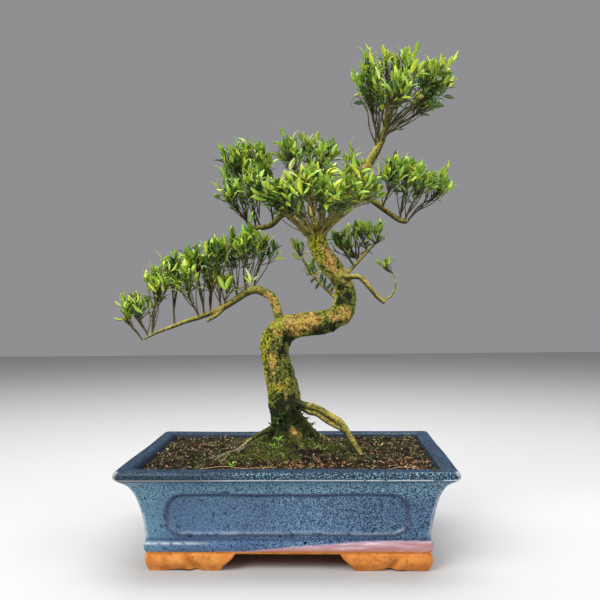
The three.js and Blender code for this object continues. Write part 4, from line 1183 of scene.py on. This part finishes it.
# Leafy sprays. Each stem grows out of its limb and forks into fine shoots, with pairs of glossy leaves set
# crosswise along them. The youngest leaves, at the tips, are the brightest. Leaves further from the tips are
# painted darker, as shade within the crown.
# A spray: its name, its limb and the station there, its crown's middle and reach, and its main shoots.
sprays = {
    "left_branch": [
        ("left_tip", "left", 16, (-192, -27, 275), (8, 9, 9), 1),
        ("left_end", "left", 15.4, (-179, -10, 283), (13, 12, 12), 2),
        ("left_outer", "left", 15, (-149, -36, 309), (12, 12, 16), 2),
        ("left_outer_back", "left", 13, (-139, -4, 326), (11, 12, 14), 1),
        ("left_middle", "left", 10.8, (-115, -42, 311), (13, 12, 15), 2),
        ("left_middle_top", "left", 10.3, (-109, -14, 336), (13, 12, 14), 2),
        ("left_middle_back", "left", 9.6, (-94, 6, 318), (13, 12, 16), 2),
        ("left_inner", "left", 8.6, (-81, -40, 343), (13, 12, 14), 2),
        ("left_low", "left", 8.1, (-70, -28, 303), (9, 9, 8), 1),
        ("left_inner_back", "left", 6.8, (-69, -2, 353), (13, 13, 13), 2),
        ("left_top", "left", 5.9, (-48, -30, 352), (13, 13, 13), 2),
        ("left_top_back", "left", 5.1, (-31, 6, 351), (14, 12, 12), 2),
    ],
    "apex": [
        ("apex_left", "trunk", 30.6, (97, -4, 541), (17, 15, 26), 3),
        ("apex_top", "trunk", 33.8, (120, 28, 571), (18, 16, 23), 3),
        ("apex_middle", "trunk", 33, (143, 0, 560), (18, 16, 20), 3),
        ("apex_right", "trunk", 31.6, (177, 12, 549), (18, 17, 22), 3),
        ("apex_right_low", "trunk", 31, (166, 30, 528), (15, 13, 11), 2),
        ("apex_back", "trunk", 32.2, (132, 52, 548), (17, 14, 17), 3),
        ("apex_front", "trunk", 31.9, (130, -30, 529), (16, 13, 15), 3),
    ],
    "right_branch": [
        ("right_inner", "right", 3.7, (121, -2, 434), (13, 12, 17), 2),
        ("right_top", "right", 4.9, (141, 26, 441), (16, 14, 17), 3),
        ("right_front", "right", 5.4, (154, -8, 427), (13, 12, 16), 2),
        ("right_outer", "right", 5.9, (181, 16, 425), (12, 12, 14), 2),
    ],
    "front_crown": [
        ("front_far_left", "trunk", 22.7, (-21, -42, 409), (15, 13, 14), 2),
        ("front_left", "trunk", 23.1, (3, -62, 407), (16, 13, 15), 3),
        ("front_middle", "trunk", 23.4, (25, -76, 410), (16, 13, 15), 3),
        ("front_right", "trunk", 23.7, (47, -64, 403), (16, 13, 15), 3),
        ("front_far_right", "trunk", 24.4, (70, -48, 410), (16, 14, 16), 3),
        ("front_end", "trunk", 25.6, (92, -30, 412), (14, 12, 13), 2),
        ("front_leader", "trunk", 27.6, (75, -22, 437), (12, 12, 14), 2),
        ("front_high", "trunk", 24.9, (37, -30, 431), (16, 14, 13), 3),
    ],
    "top_crown": [
        ("top_left", "crown_back", 2.6, (0, 22, 467), (16, 14, 17), 3),
        ("top_middle", "crown_back", 3.8, (23, 48, 474), (16, 15, 17), 3),
        ("top_right", "crown_back", 3.2, (46, 18, 463), (13, 12, 16), 2),
        ("top_back", "crown_back", 2.2, (37, 72, 446), (16, 13, 14), 3),
    ],
    "left_crown": [
        ("crown_left_outer", "crown_left", 5.9, (-67, 32, 456), (14, 13, 21), 2),
        ("crown_left_top", "crown_left", 4.6, (-50, 56, 470), (15, 13, 19), 2),
        ("crown_left_inner", "crown_left", 3.8, (-32, 12, 453), (13, 12, 17), 2),
        ("crown_left_low", "crown_left", 5.5, (-70, 2, 416), (13, 12, 13), 2),
        ("crown_left_front", "crown_left", 4.9, (-43, -12, 424), (14, 13, 15), 2),
    ],
    "back_twigs": [
        ("back_right_inner", "back_right", 2.6, (67, 46, 361), (14, 12, 11), 2),
        ("back_right_top", "back_right", 3.3, (90, 54, 373), (11, 11, 10), 1),
        ("back_right_end", "back_right", 4, (108, 30, 366), (9, 9, 11), 1),
        ("back_left_end", "back_left", 4, (11, 36, 350), (9, 9, 11), 1),
        ("back_left_low", "back_left", 2.4, (26, 44, 325), (8, 9, 8), 1),
        ("curl_tip", "curl", 4, (114, -8, 325), (6, 6, 6), 1),
    ],
}
# Where single shoots end that reach beyond their crown, or hang below it.
long_shoots = {
    "apex_right": [(193, 8, 563), (188, 12, 545)],
    "apex_left": [(92, -8, 570), (80, -2, 548)],
    "apex_front": [(138, -40, 548)],
    "right_outer": [(190, 16, 440)],
    "front_end": [(104, -30, 424)],
    "crown_left_outer": [(-84, 30, 470)],
    "crown_left_low": [(-76, 0, 434)],
    "left_tip": [(-190, -30, 288)],
    "left_outer": [(-143, -38, 328)],
    "left_top": [(-42, -30, 374)],
    "top_left": [(-6, 20, 482)],
    "front_high": [(38, -32, 452)],
    "front_leader": [(74, -22, 458)],
}
low_shoots = {
    "back_right_inner": [
        (57, 38, 362), (60, 40, 349), (70, 38, 341), (74, 44, 352), (65, 30, 355), (85, 42, 349),
        (62, 34, 341), (76, 32, 346), (68, 46, 360), (80, 36, 362), (55, 44, 355),
    ],
    "back_right_top": [
        (94, 44, 351), (84, 36, 358), (101, 38, 341), (90, 34, 349), (97, 42, 362), (88, 46, 342),
    ],
    "back_right_end": [(99, 26, 352), (110, 38, 356), (94, 28, 362)],
    "front_far_left": [(-14, -44, 391)],
    "front_left": [(-2, -46, 386), (6, -48, 392), (18, -46, 387)],
    "front_middle": [(12, -50, 381), (29, -50, 391)],
    "front_right": [(41, -46, 386), (56, -44, 389)],
    "front_far_right": [(66, -40, 385), (49, -44, 382)],
    "apex_middle": [(134, -6, 516), (148, 0, 524)],
    "apex_left": [(112, -8, 512), (104, -6, 518)],
    "apex_front": [(124, -16, 512)],
    "crown_left_low": [
        (-71, 6, 407), (-66, 4, 399), (-61, 10, 392), (-55, 4, 397), (-72, 12, 400), (-50, 8, 404),
    ],
}
# How much of its leafy length a shoot keeps, in the crowns that show more of their twigs.
leafiness = {"front_crown": 0.82, "apex": 0.84, "left_crown": 0.92}
leaf_room, shoot_tip = 17, 0.42


def drawer(seed):
    """Draws numbers from 0 to 1 by chance, the same ones each time from one seed."""
    state = [seed]

    def draw():
        state[0] = (state[0] * 1664525 + 1013904223) % 4294967296
        return state[0] / 4294967296
    return draw


def limb_point(limb, at):
    """The point at a station of a limb's smooth line, which may lie between two stations."""
    stations = np.array(trunk_line if limb == "trunk" else limb_lines[limb], float)
    i = min(int(at), len(stations) - 2)
    return curve_point(stations, i, at - i)[:3]


def inside(point):
    """The point, kept far enough inside the object's own box for a leaf to grow beyond it."""
    return np.clip(point, np.array(cad_low) / MM + leaf_room, np.array(cad_high) / MM - leaf_room)


def sway(chance, far):
    """How far a shoot that long leans out of its line."""
    return chance.normal(0, 0.06, 3) * np.array([1, 1, 0.3]) * far


def side_shoot(start, end, girth, sag, lean=0.0):
    """The stations of a side shoot: it leaves sideways and then turns up."""
    away = end - start
    middle = start + away * 0.5 - np.array([0, 0, sag * np.linalg.norm(away)]) + lean
    return [(*start, girth), (*middle, girth * 0.8), (*end, shoot_tip)]


def plan_spray(spray, index):
    """The shoots of one spray: each a list of stations, how much of it is leafy, and how young it is."""
    name, limb, at, crown, reach, shoots = spray
    draw, chance = drawer(1000 + 7 * index), np.random.default_rng(index + 50)
    foot, up = limb_point(limb, at), np.array([0, 0, 1.0])
    crown, reach = np.array(crown, float), np.array(reach, float)
    fork = crown - (0.75 * reach[2] + 3) * up
    fork = fork + (foot - fork) * 0.1
    away = np.linalg.norm(fork - foot)
    bend = (foot + fork) / 2 + 0.06 * away * up
    tip = inside(crown + max(reach[2] - 10, 2) * up)
    rise, turn = np.linalg.norm(tip - fork), 6.28 * draw()
    bowed = bend + sway(chance, away)
    stem = [(*foot, 1.3), (*bowed, 1.0), (*fork, 0.8), (*((fork + tip) / 2), 0.7), (*tip, shoot_tip)]
    plans = [(stem, min(0.9, (rise + 3) / (away + rise)), draw())]
    for i in range(1, shoots):
        angle = turn + golden_turn * i
        start = bend + (fork - bend) * (0.55 + 0.3 * draw())
        wide, deep = cos(angle) * (reach[0] - 5), sin(angle) * (reach[1] - 5)
        end = crown + np.array([wide, deep, reach[2] * (0.1 - 0.25 * i)])
        plans.append((side_shoot(start, inside(end), 0.85, 0.08), 0.62, draw()))
    for i in range(3 + int(away / 22)):
        angle = turn + golden_turn * i + chance.uniform(-0.5, 0.5)
        end = crown + reach * np.array([cos(angle) * 0.95, sin(angle) * 0.95, chance.uniform(-0.75, 0.15)])
        start = foot + (bend - foot) * chance.uniform(0.1, 1.0)
        stations = side_shoot(start, inside(end), 0.7, 0.05, sway(chance, away))
        plans.append((stations, 0.55, chance.uniform(0.0, 0.7)))
    for far_tip in long_shoots.get(name, []):
        plans.append((side_shoot(fork, np.array(far_tip, float), 0.8, 0.06), 0.75, 1.0))
    for low_tip in low_shoots.get(name, []):
        start = foot + (bend - foot) * 0.3
        plans.append((side_shoot(start, np.array(low_tip, float), 0.75, 0.04), 0.55, 0.0))
    for i in range(9 + int(reach.mean() / 2.0)):
        angle = turn + 1.2 + golden_turn * i + chance.uniform(-0.4, 0.4)
        height = chance.uniform(-0.6, 0.8)
        out = (1 - 0.5 * max(height, 0)) * chance.uniform(0.45, 1.0)
        end = crown + reach * np.array([cos(angle) * out, sin(angle) * out, height]) - 3 * up
        end = end + (end - crown) * (0.28 if i % 6 == 5 else 0.0)
        share = chance.uniform(0.3, 0.95) if away > 30 else chance.uniform(0.5, 1.0)
        start = bend + (fork - bend) * share if i % 3 else fork + (tip - fork) * chance.uniform(0.0, 0.45)
        plans.append((side_shoot(start, inside(end), 0.6, 0.10), 0.66, chance.uniform(0.0, 1.0)))
    return plans


def shoot_lines(group, first):
    """All shoots of a group as one mesh of lines, with what the rules need to know at each of its points."""
    points, edges, notes = [], [], {"radius": [], "leafy": [], "young": [], "end": []}
    for index, spray in enumerate(sprays[group], first):
        for stations, leafy, young in plan_spray(spray, index):
            length = run_length(stations)
            line = through(stations, max(int(length / 3), 5))
            share = np.linspace(0, 1, len(line))
            edges += [(len(points) + i, len(points) + i + 1) for i in range(len(line) - 1)]
            points += [tuple(point) for point in line[:, :3]]
            notes["radius"] += list(line[:, 3] * MM)
            notes["leafy"] += list((share - (1 - leafy * leafiness.get(group, 1.0))) * length)
            notes["young"] += [young] * len(line)
            notes["end"] += list((1 - share) * length)
    mesh = bpy.data.meshes.new(group + "_lines")
    mesh.from_pydata((np.array(points) * MM).tolist(), edges, [])
    note_on_points(mesh, notes)
    return bring_in(group + "_lines", mesh)


def twig_rule():
    """Makes lines into round twigs, by the radius at each of their points."""
    rule = Rule("round_twigs", Sides=5, Swell=1.0)
    curve = rule.node("GeometryNodeMeshToCurve", {}, {0: rule.base})
    circle = {"Resolution": rule.size("Sides"), "Radius": 1.0}
    ring = rule.node("GeometryNodeCurvePrimitiveCircle", {}, circle)
    girth = rule.note("radius") * rule.size("Swell")
    rule.end(rule.node("GeometryNodeCurveToMesh", {}, {0: curve, 1: ring, 2: girth, 3: True}))
    return rule


def leaf_rule():
    """Sets a pair of leaves at each step along the shoots, each pair crosswise to the last."""
    rule = Rule(
        "paired_leaves", Leaf=bpy.types.Object, Step=0.0060, Small=0.52, Large=1.14, Low=0.3, High=1.0,
        Spread=0.35, Seed=1,
    )
    curve = rule.node("GeometryNodeMeshToCurve", {}, {0: rule.base})
    steps = {0: curve, "Length": rule.size("Step")}
    points = rule.node("GeometryNodeResampleCurve", {"mode": "LENGTH"}, steps)
    leafy, young = rule.note("leafy"), rule.note("young")
    near_tip, fill = rule.note("end").between(26.0, 0.0), leafy.between(-2.0, 15.0)
    tangent, index = rule.node("GeometryNodeInputTangent"), rule.node("GeometryNodeInputIndex")
    upright = rule.node("FunctionNodeAlignRotationToVector", {"axis": "Z"}, {2: tangent})
    halves = []
    for half in (0, 1):
        turn = index * (pi / 2) + (pi * half) + rule.random(-0.35, 0.35, 10 + half)
        rise = near_tip * (rule.size("High") - rule.size("Low")) + rule.size("Low")
        rise = rise + rule.random(-1.0, 1.0, 20 + half) * rule.size("Spread")
        aimed = rule.turned(rule.turned(upright, z=turn), rule.random(-0.4, 0.4, 30 + half), rise * -1.0)
        skyward = {0: aimed, 1: rule.random(0.0, 0.27, 70 + half), 2: (0, 0, 1)}
        aimed = rule.node("FunctionNodeAlignRotationToVector", {"axis": "X"}, skyward)
        scale = rule.random(rule.size("Small"), rule.size("Large"), 40 + half) * (fill * 0.35 + 0.65)
        scale = scale * (1 - near_tip * near_tip * 0.22)
        chosen = rule.random(0.0, 1.0, 50 + half).maths("LESS_THAN", fill * 0.6 + 0.35)
        chosen = leafy.maths("GREATER_THAN", 0.0) * chosen
        placed = rule.node("GeometryNodeInstanceOnPoints", {}, {
            0: points, 1: chosen, 2: rule.shape("Leaf"), 5: aimed, 6: scale})
        placed = rule.note_on_each(placed, "tint", rule.random(0.0, 1.0, 60 + half))
        # Youth and painted light: leaves near a shoot's tip are lit, those further in are in painted shade.
        fresh = near_tip * (young * 0.65 + 0.35) + young * 0.15
        halves.append(rule.note_on_each(placed, "fresh", fresh))
    rule.end(rule.both(*halves))
    return rule


def leaf_finish():
    """Leaf green by age and painted light, dark to yellow; pale rib, faint side veins, here and there bronze.
    """
    leaf = Finish("glossy_leaves", specular_ior_level=0.42)
    tint, fresh, along, across = (leaf.attribute(name) for name in ("tint", "fresh", "along", "across"))
    old = leaf.mix(tint, (0.012, 0.058, 0.020), (0.095, 0.220, 0.030))
    bright = leaf.mix(tint, (0.200, 0.450, 0.035), (0.540, 0.690, 0.065))
    newness = (fresh + (tint - 0.5) * 0.5).between(0.24, 0.62)
    rib = across.between(0.16, 0.03) * along.between(1.0, 0.8)
    shade = leaf.coats(
        leaf.mix(newness, old, bright),
        ((newness * tint).between(0.72, 0.92) * 0.8, (0.700, 0.760, 0.040)),
        (leaf.clouds(9, 2).between(0.45, 0.7) * 0.2, (0.180, 0.320, 0.040)),
        (tint.between(0.986, 0.992) * 0.8, (0.300, 0.120, 0.050)),
        (fresh.between(1.2, 1.5) * 0.8, (0.760, 0.800, 0.340)),
        (rib * 0.45, (0.420, 0.520, 0.120)),
    )
    bands = leaf.node("ShaderNodeCombineXYZ", {}, {0: along * 3.2 - across * 0.9})
    wave = {"wave_type": "BANDS", "bands_direction": "X"}
    side_veins = leaf.node("ShaderNodeTexWave", wave, {0: bands, "Scale": 1.0})
    return leaf.finish(shade, 0.30 + side_veins * 0.10, side_veins * 0.4 + (1 - rib) * 0.6, 0.25)


def twig_finish(name, low, high):
    """Young bark: its two colours, with duller blotches and paler scars."""
    twig = Finish(name, specular_ior_level=0.2)
    grain = twig.clouds(1.2, 3, 0.6)
    shade = twig.coats(
        twig.mix(grain.between(0.40, 0.60), low, high),
        (twig.clouds(12, 2).between(0.45, 0.62) * 0.5, [c * 0.8 + 0.02 for c in high]),
        (twig.clouds(5, 2).between(0.60, 0.70) * 0.5, [c * 1.5 + 0.04 for c in high]),
    )
    return twig.finish(shade, 0.75, grain, 0.3)


leaf_length, leaf_half_width, leaf_drop = 19.0, 3.4, 2.2
leaf_points, leaf_faces, leaf_notes = leaf_shape(leaf_length, leaf_half_width, leaf_drop)
leaf_pattern = make_piece("leaf", leaf_points, leaf_faces, notes=leaf_notes)
leaf_surface, twig_tubes, leaf_pairs = leaf_finish(), twig_rule(), leaf_rule()
# Painted light and shade: the pale twig bark is a lit copy, the dark one a shaded copy of the same bark.
shaded_twigs = twig_finish("shaded_twig_bark", (0.010, 0.008, 0.004), (0.100, 0.085, 0.026))
lit_twigs = twig_finish("lit_twig_bark", (0.060, 0.048, 0.014), (0.330, 0.270, 0.085))
brown_twigs = twig_finish("brown_twig_bark", (0.018, 0.013, 0.006), (0.150, 0.115, 0.036))
twig_colours = {
    "front_crown": lit_twigs, "left_branch": brown_twigs, "top_crown": brown_twigs, "apex": shaded_twigs,
    "right_branch": shaded_twigs, "left_crown": shaded_twigs, "back_twigs": shaded_twigs,
}
count, shoot_places = 0, []
for group, members in sprays.items():
    nodes = ["spray_" + member[0] for member in members]
    lines = shoot_lines(group, count)
    shoot_places += [vertex.co / MM for vertex in lines.data.vertices]
    put_on(twig_tubes.run(group + "_twigs", lines, Surface=twig_colours[group]), "bark", *nodes)
    leaves = leaf_pairs.run(
        group + "_leaves", lines, Leaf=leaf_pattern, Seed=100 + count, Surface=leaf_surface)
    put_on(leaves, "leaves", *nodes)
    throw_away(lines)
    count += len(members)
throw_away(leaf_pattern)


# Single leaves and bare shoots. Large young leaves stand clear of the crowns, each on its own short stalk
# from the nearest shoot, and thin shoots without leaves rise through the crowns from below.
# A leaf: its foot, its tip, how yellow it is, and how young and lit. A shoot: stations of x, y, z and radius.
single_leaves = [
    ((194, 8, 564), (204, 5, 578), 0.6, 0.9), ((100, -14, 573), (91, -18, 581), 0.5, 0.7),
    ((101, -18, 557), (96, -24, 570), 0.95, 1.0), ((107, -22, 537), (103, -28, 551), 0.9, 1.5),
    ((104, -24, 529), (99, -30, 540), 0.7, 0.9), ((145, -6, 569), (144, -10, 578), 0.96, 1.0),
    ((143, -24, 542), (151, -32, 557), 0.85, 1.0), ((151, -22, 546), (160, -28, 556), 0.8, 1.0),
    ((148, -20, 548), (150, -28, 560), 0.7, 1.0), ((189, -6, 531), (195, -12, 543), 0.92, 1.0),
    ((188, -4, 550), (185, -8, 561), 0.6, 0.9), ((184, 0, 523), (197, -2, 520), 0.2, 0.1),
    ((167, -10, 511), (184, -12, 508), 0.2, 0.1), ((91, -6, 515), (77, -8, 515), 0.1, 0.0),
    ((-79, 10, 433), (-81, 8, 446), 0.4, 0.5), ((-57, 0, 457), (-62, -6, 465), 0.8, 1.3),
    ((-30, 0, 451), (-34, -6, 459), 0.7, 0.9), ((-20, -56, 407), (-27, -62, 416), 0.8, 1.3),
    ((-18, -58, 407), (-19, -64, 422), 0.8, 1.0), ((-17, -58, 406), (-10, -64, 417), 0.6, 0.9),
    ((10, -78, 412), (-1, -84, 423), 0.8, 1.0), ((19, -88, 395), (16, -93, 414), 0.8, 1.0),
    ((16, -88, 394), (5, -92, 405), 0.7, 0.9), ((20, -88, 396), (29, -92, 408), 0.6, 0.9),
    ((5, -70, 424), (11, -76, 438), 0.8, 1.4), ((83, -36, 420), (72, -40, 438), 0.9, 1.0),
    ((82, -34, 426), (75, -38, 448), 0.5, 0.8), ((88, -34, 399), (104, -38, 418), 0.7, 0.8),
    ((87, -34, 409), (99, -38, 429), 0.6, 0.8), ((-21, -50, 396), (-37, -54, 398), 0.4, 0.6),
    ((66, 34, 338), (74, 28, 348), 0.6, 0.9), ((14, 20, 334), (1, 16, 343), 0.5, 0.6),
    ((-70, -42, 296), (-78, -46, 313), 0.7, 0.9), ((-70, -42, 296), (-62, -46, 313), 0.5, 0.8),
    ((-43, -42, 302), (-45, -46, 320), 0.9, 1.45), ((-42, -42, 301), (-49, -45, 312), 0.6, 0.9),
    ((-39, -42, 306), (-32, -44, 312), 0.5, 1.5), ((-53, -34, 358), (-47, -38, 370), 0.7, 0.9),
    ((-142, -44, 302), (-146, -50, 318), 0.6, 0.9), ((-141, -44, 307), (-153, -48, 312), 0.5, 0.8),
    ((-140, -44, 294), (-140, -50, 304), 0.8, 1.3), ((-134, -44, 319), (-133, -50, 331), 0.9, 1.4),
    ((-132, -44, 318), (-122, -49, 328), 0.6, 0.9), ((-191, -30, 278), (-199, -34, 285), 0.8, 1.4),
    ((-175, -34, 281), (-183, -38, 292), 0.6, 0.9), ((-173, -34, 284), (-172, -38, 297), 0.9, 1.0),
    ((110, 2, 503), (103, -3, 506), 0.4, 0.3), ((109, 4, 484), (103, -2, 490), 0.2, 0.1),
    ((128, 4, 488), (139, 0, 485), 0.1, 0.1), ((122, 0, 498), (131, -6, 503), 0.5, 0.2),
    ((42, 15, 300), (43, 10, 313), 0.2, 0.2), ((43, 14, 298), (51, 8, 306), 0.1, 0.1),
    ((36, 20, 305), (39, 14, 318), 0.3, 0.3), ((30, 24, 311), (24, 18, 305), 0.1, 0.0),
    ((49, 12, 293), (54, 6, 302), 0.2, 0.1), ((36, 20, 305), (30, 12, 297), 0.1, 0.0),
    ((23, 27, 321), (19, 20, 331), 0.5, 0.4), ((24, 27, 319), (31, 20, 328), 0.4, 0.2),
    ((-166, -36, 271), (-177, -40, 281), 0.5, 0.8), ((-190, -30, 264), (-201, -34, 266), 0.5, 0.8),
]
bare_shoots = [
    [(32, -6, 357, 1.6), (24, -24, 370, 1.3), (21, -40, 382, 1.0), (16, -52, 398, 0.7)],
    [(34, -6, 358, 1.6), (44, -20, 372, 1.3), (52, -30, 381, 1.0), (60, -40, 392, 0.7)],
    [(20, -6, 360, 1.7), (10, -18, 371, 1.4), (-5, -34, 383, 1.1), (-20, -44, 396, 0.7)],
    [(18, -8, 362, 1.4), (8, -18, 376, 1.1), (4, -40, 392, 0.9), (2, -54, 404, 0.6)],
    [(38, -6, 360, 1.5), (55, -12, 374, 1.2), (72, -26, 386, 1.0), (86, -34, 398, 0.7)],
    [(94, 2, 508, 0.9), (86, -4, 521, 0.7), (80, -8, 522, 0.6), (75, -8, 516, 0.5), (77, -8, 509, 0.4)],
]
inner_shoots = [
    [(105, 10, 466, 1.3), (104, 4, 488, 1.1), (101, 0, 508, 0.9), (104, -6, 526, 0.6)],
    [(108, 10, 470, 1.3), (109, 2, 490, 1.1), (113, -4, 508, 0.9), (112, -8, 530, 0.6)],
    [(113, 10, 476, 1.4), (119, 2, 492, 1.2), (125, -4, 508, 1.0), (132, -8, 526, 0.6)],
    [(115, 10, 482, 1.3), (122, 0, 498, 1.1), (124, -6, 514, 0.8), (120, -10, 530, 0.6)],
    [(112, 8, 474, 1.3), (122, 0, 486, 1.1), (138, -4, 500, 0.9), (152, -8, 516, 0.6)],
    [(114, 14, 480, 1.2), (124, 20, 496, 1.0), (136, 24, 510, 0.8), (146, 26, 524, 0.6)],
    [(106, 12, 468, 1.1), (98, 16, 490, 0.9), (96, 18, 510, 0.7), (92, 16, 524, 0.5)],
    [(116, 12, 488, 1.2), (112, 2, 504, 1.0), (118, -8, 518, 0.8), (126, -12, 536, 0.6)],
    [(78, 24, 325, 1.5), (70, 30, 338, 1.2), (62, 36, 352, 0.9), (57, 38, 366, 0.5)],
    [(80, 26, 327, 1.4), (84, 34, 342, 1.1), (82, 42, 356, 0.8), (76, 46, 368, 0.5)],
]


def set_single_leaves():
    """The single leaves as one piece, and their stalks as another."""
    limb_places = [point[:3] for line in limb_lines.values() for point in through(line, 60)]
    shoots = finder(shoot_places + limb_places)
    leaves, stalks, notes = [], [], {"along": [], "across": [], "tint": [], "fresh": []}
    for foot, tip, tint, fresh in single_leaves:
        ahead = np.array(tip, float) - foot
        length = np.linalg.norm(ahead)
        ahead /= length
        wide, flat = ring_directions(ahead, np.array([ahead[2], 0.8 * sin(40 * tint), -ahead[0]]))
        leaves.append((foot + length / leaf_length * leaf_points @ np.array([ahead, wide, flat]), leaf_faces))
        own = {"tint": [tint] * len(leaf_points), "fresh": [fresh] * len(leaf_points)}
        for name, values in {**leaf_notes, **own}.items():
            notes[name] += values
        start = np.array(shoots.find(foot)[0])
        middle = (start + foot) / 2 - np.array([0, 0, 0.12 * np.linalg.norm(start - foot)])
        stalks.append(limb_tube([(*start, 0.5), (*middle, 0.45), (*foot, 0.35)], 5, 3.0))
    put_on(make_piece("single_leaves", *joined(leaves), leaf_surface, notes), "leaves")
    put_on(make_piece("leaf_stalks", *joined(stalks), brown_twigs), "bark")


set_single_leaves()
bare_wood = joined(limb_tube(line, 7, 1.5) for line in bare_shoots)
inner_wood = joined(limb_tube(line, 7, 1.5) for line in inner_shoots)
put_on(make_piece("bare_shoots", *bare_wood, lit_twigs), "bark")
put_on(make_piece("inner_shoots", *inner_wood, shaded_twigs), "bark")


# Floor, lights and camera. A plain pale board to stand on, under a large window light, a weaker one opposite
# and a light above, seen from the photograph's own angle.
floor = Finish("pale_floor")
floor_shade = floor.mix(floor.clouds(400, 2) * 0.3, (0.48, 0.48, 0.48), (0.45, 0.45, 0.46))
floor_half = 3500.0
floor_corners = [(floor_half * x, floor_half * y, 0) for x, y in ((-1, -1), (1, -1), (1, 1), (-1, 1))]
make_piece("studio_floor", floor_corners, [(0, 1, 2, 3)], floor.finish(floor_shade, 0.9))


def hang_light(name, place, size, power, colour):
    light = bpy.data.lights.new(name, "AREA")
    light.shape, light.size, light.size_y, light.energy, light.color = "RECTANGLE", *size, power, colour
    lamp = bring_in(name, light)
    lamp.location = place
    towards_tree = Vector((0, 0, 0.3)) - Vector(place)
    lamp.rotation_euler = towards_tree.to_track_quat("-Z", "Y").to_euler()


hang_light("window_left", (-1.1, -1.3, 1.5), (1.4, 1.2), 48, (1.0, 0.985, 0.96))
hang_light("soft_right", (1.5, -0.8, 1.1), (1.2, 1.2), 18, (0.95, 0.975, 1.0))
hang_light("sky_above", (0.1, 0.3, 1.8), (1.8, 1.2), 46, (1.0, 1.0, 1.0))
world = bpy.data.worlds.new("studio_air")
world.use_nodes = True
world.node_tree.nodes["Background"].inputs[0].default_value = (0.84, 0.84, 0.87, 1)
world.node_tree.nodes["Background"].inputs[1].default_value = 0.33
bpy.context.scene.world = world
bpy.context.scene.view_settings.view_transform = "Standard"

lens = bpy.data.cameras.new("front_camera")
lens.sensor_width, lens.lens = 36.0, 43.14
lens.clip_start, lens.clip_end = 0.01, 50
camera = bring_in("front_camera", lens)
place = (0.044, -0.850, 0.274)
ahead = Vector((-0.03716402, 0.99923017, 0.01256604))
above = Vector((0.01110597, -0.01216096, 0.99986438))
side = ahead.cross(above)
camera.matrix_world = Matrix([(side[k], above[k], -ahead[k], place[k]) for k in range(3)] + [(0, 0, 0, 1)])
bpy.context.scene.camera = camera
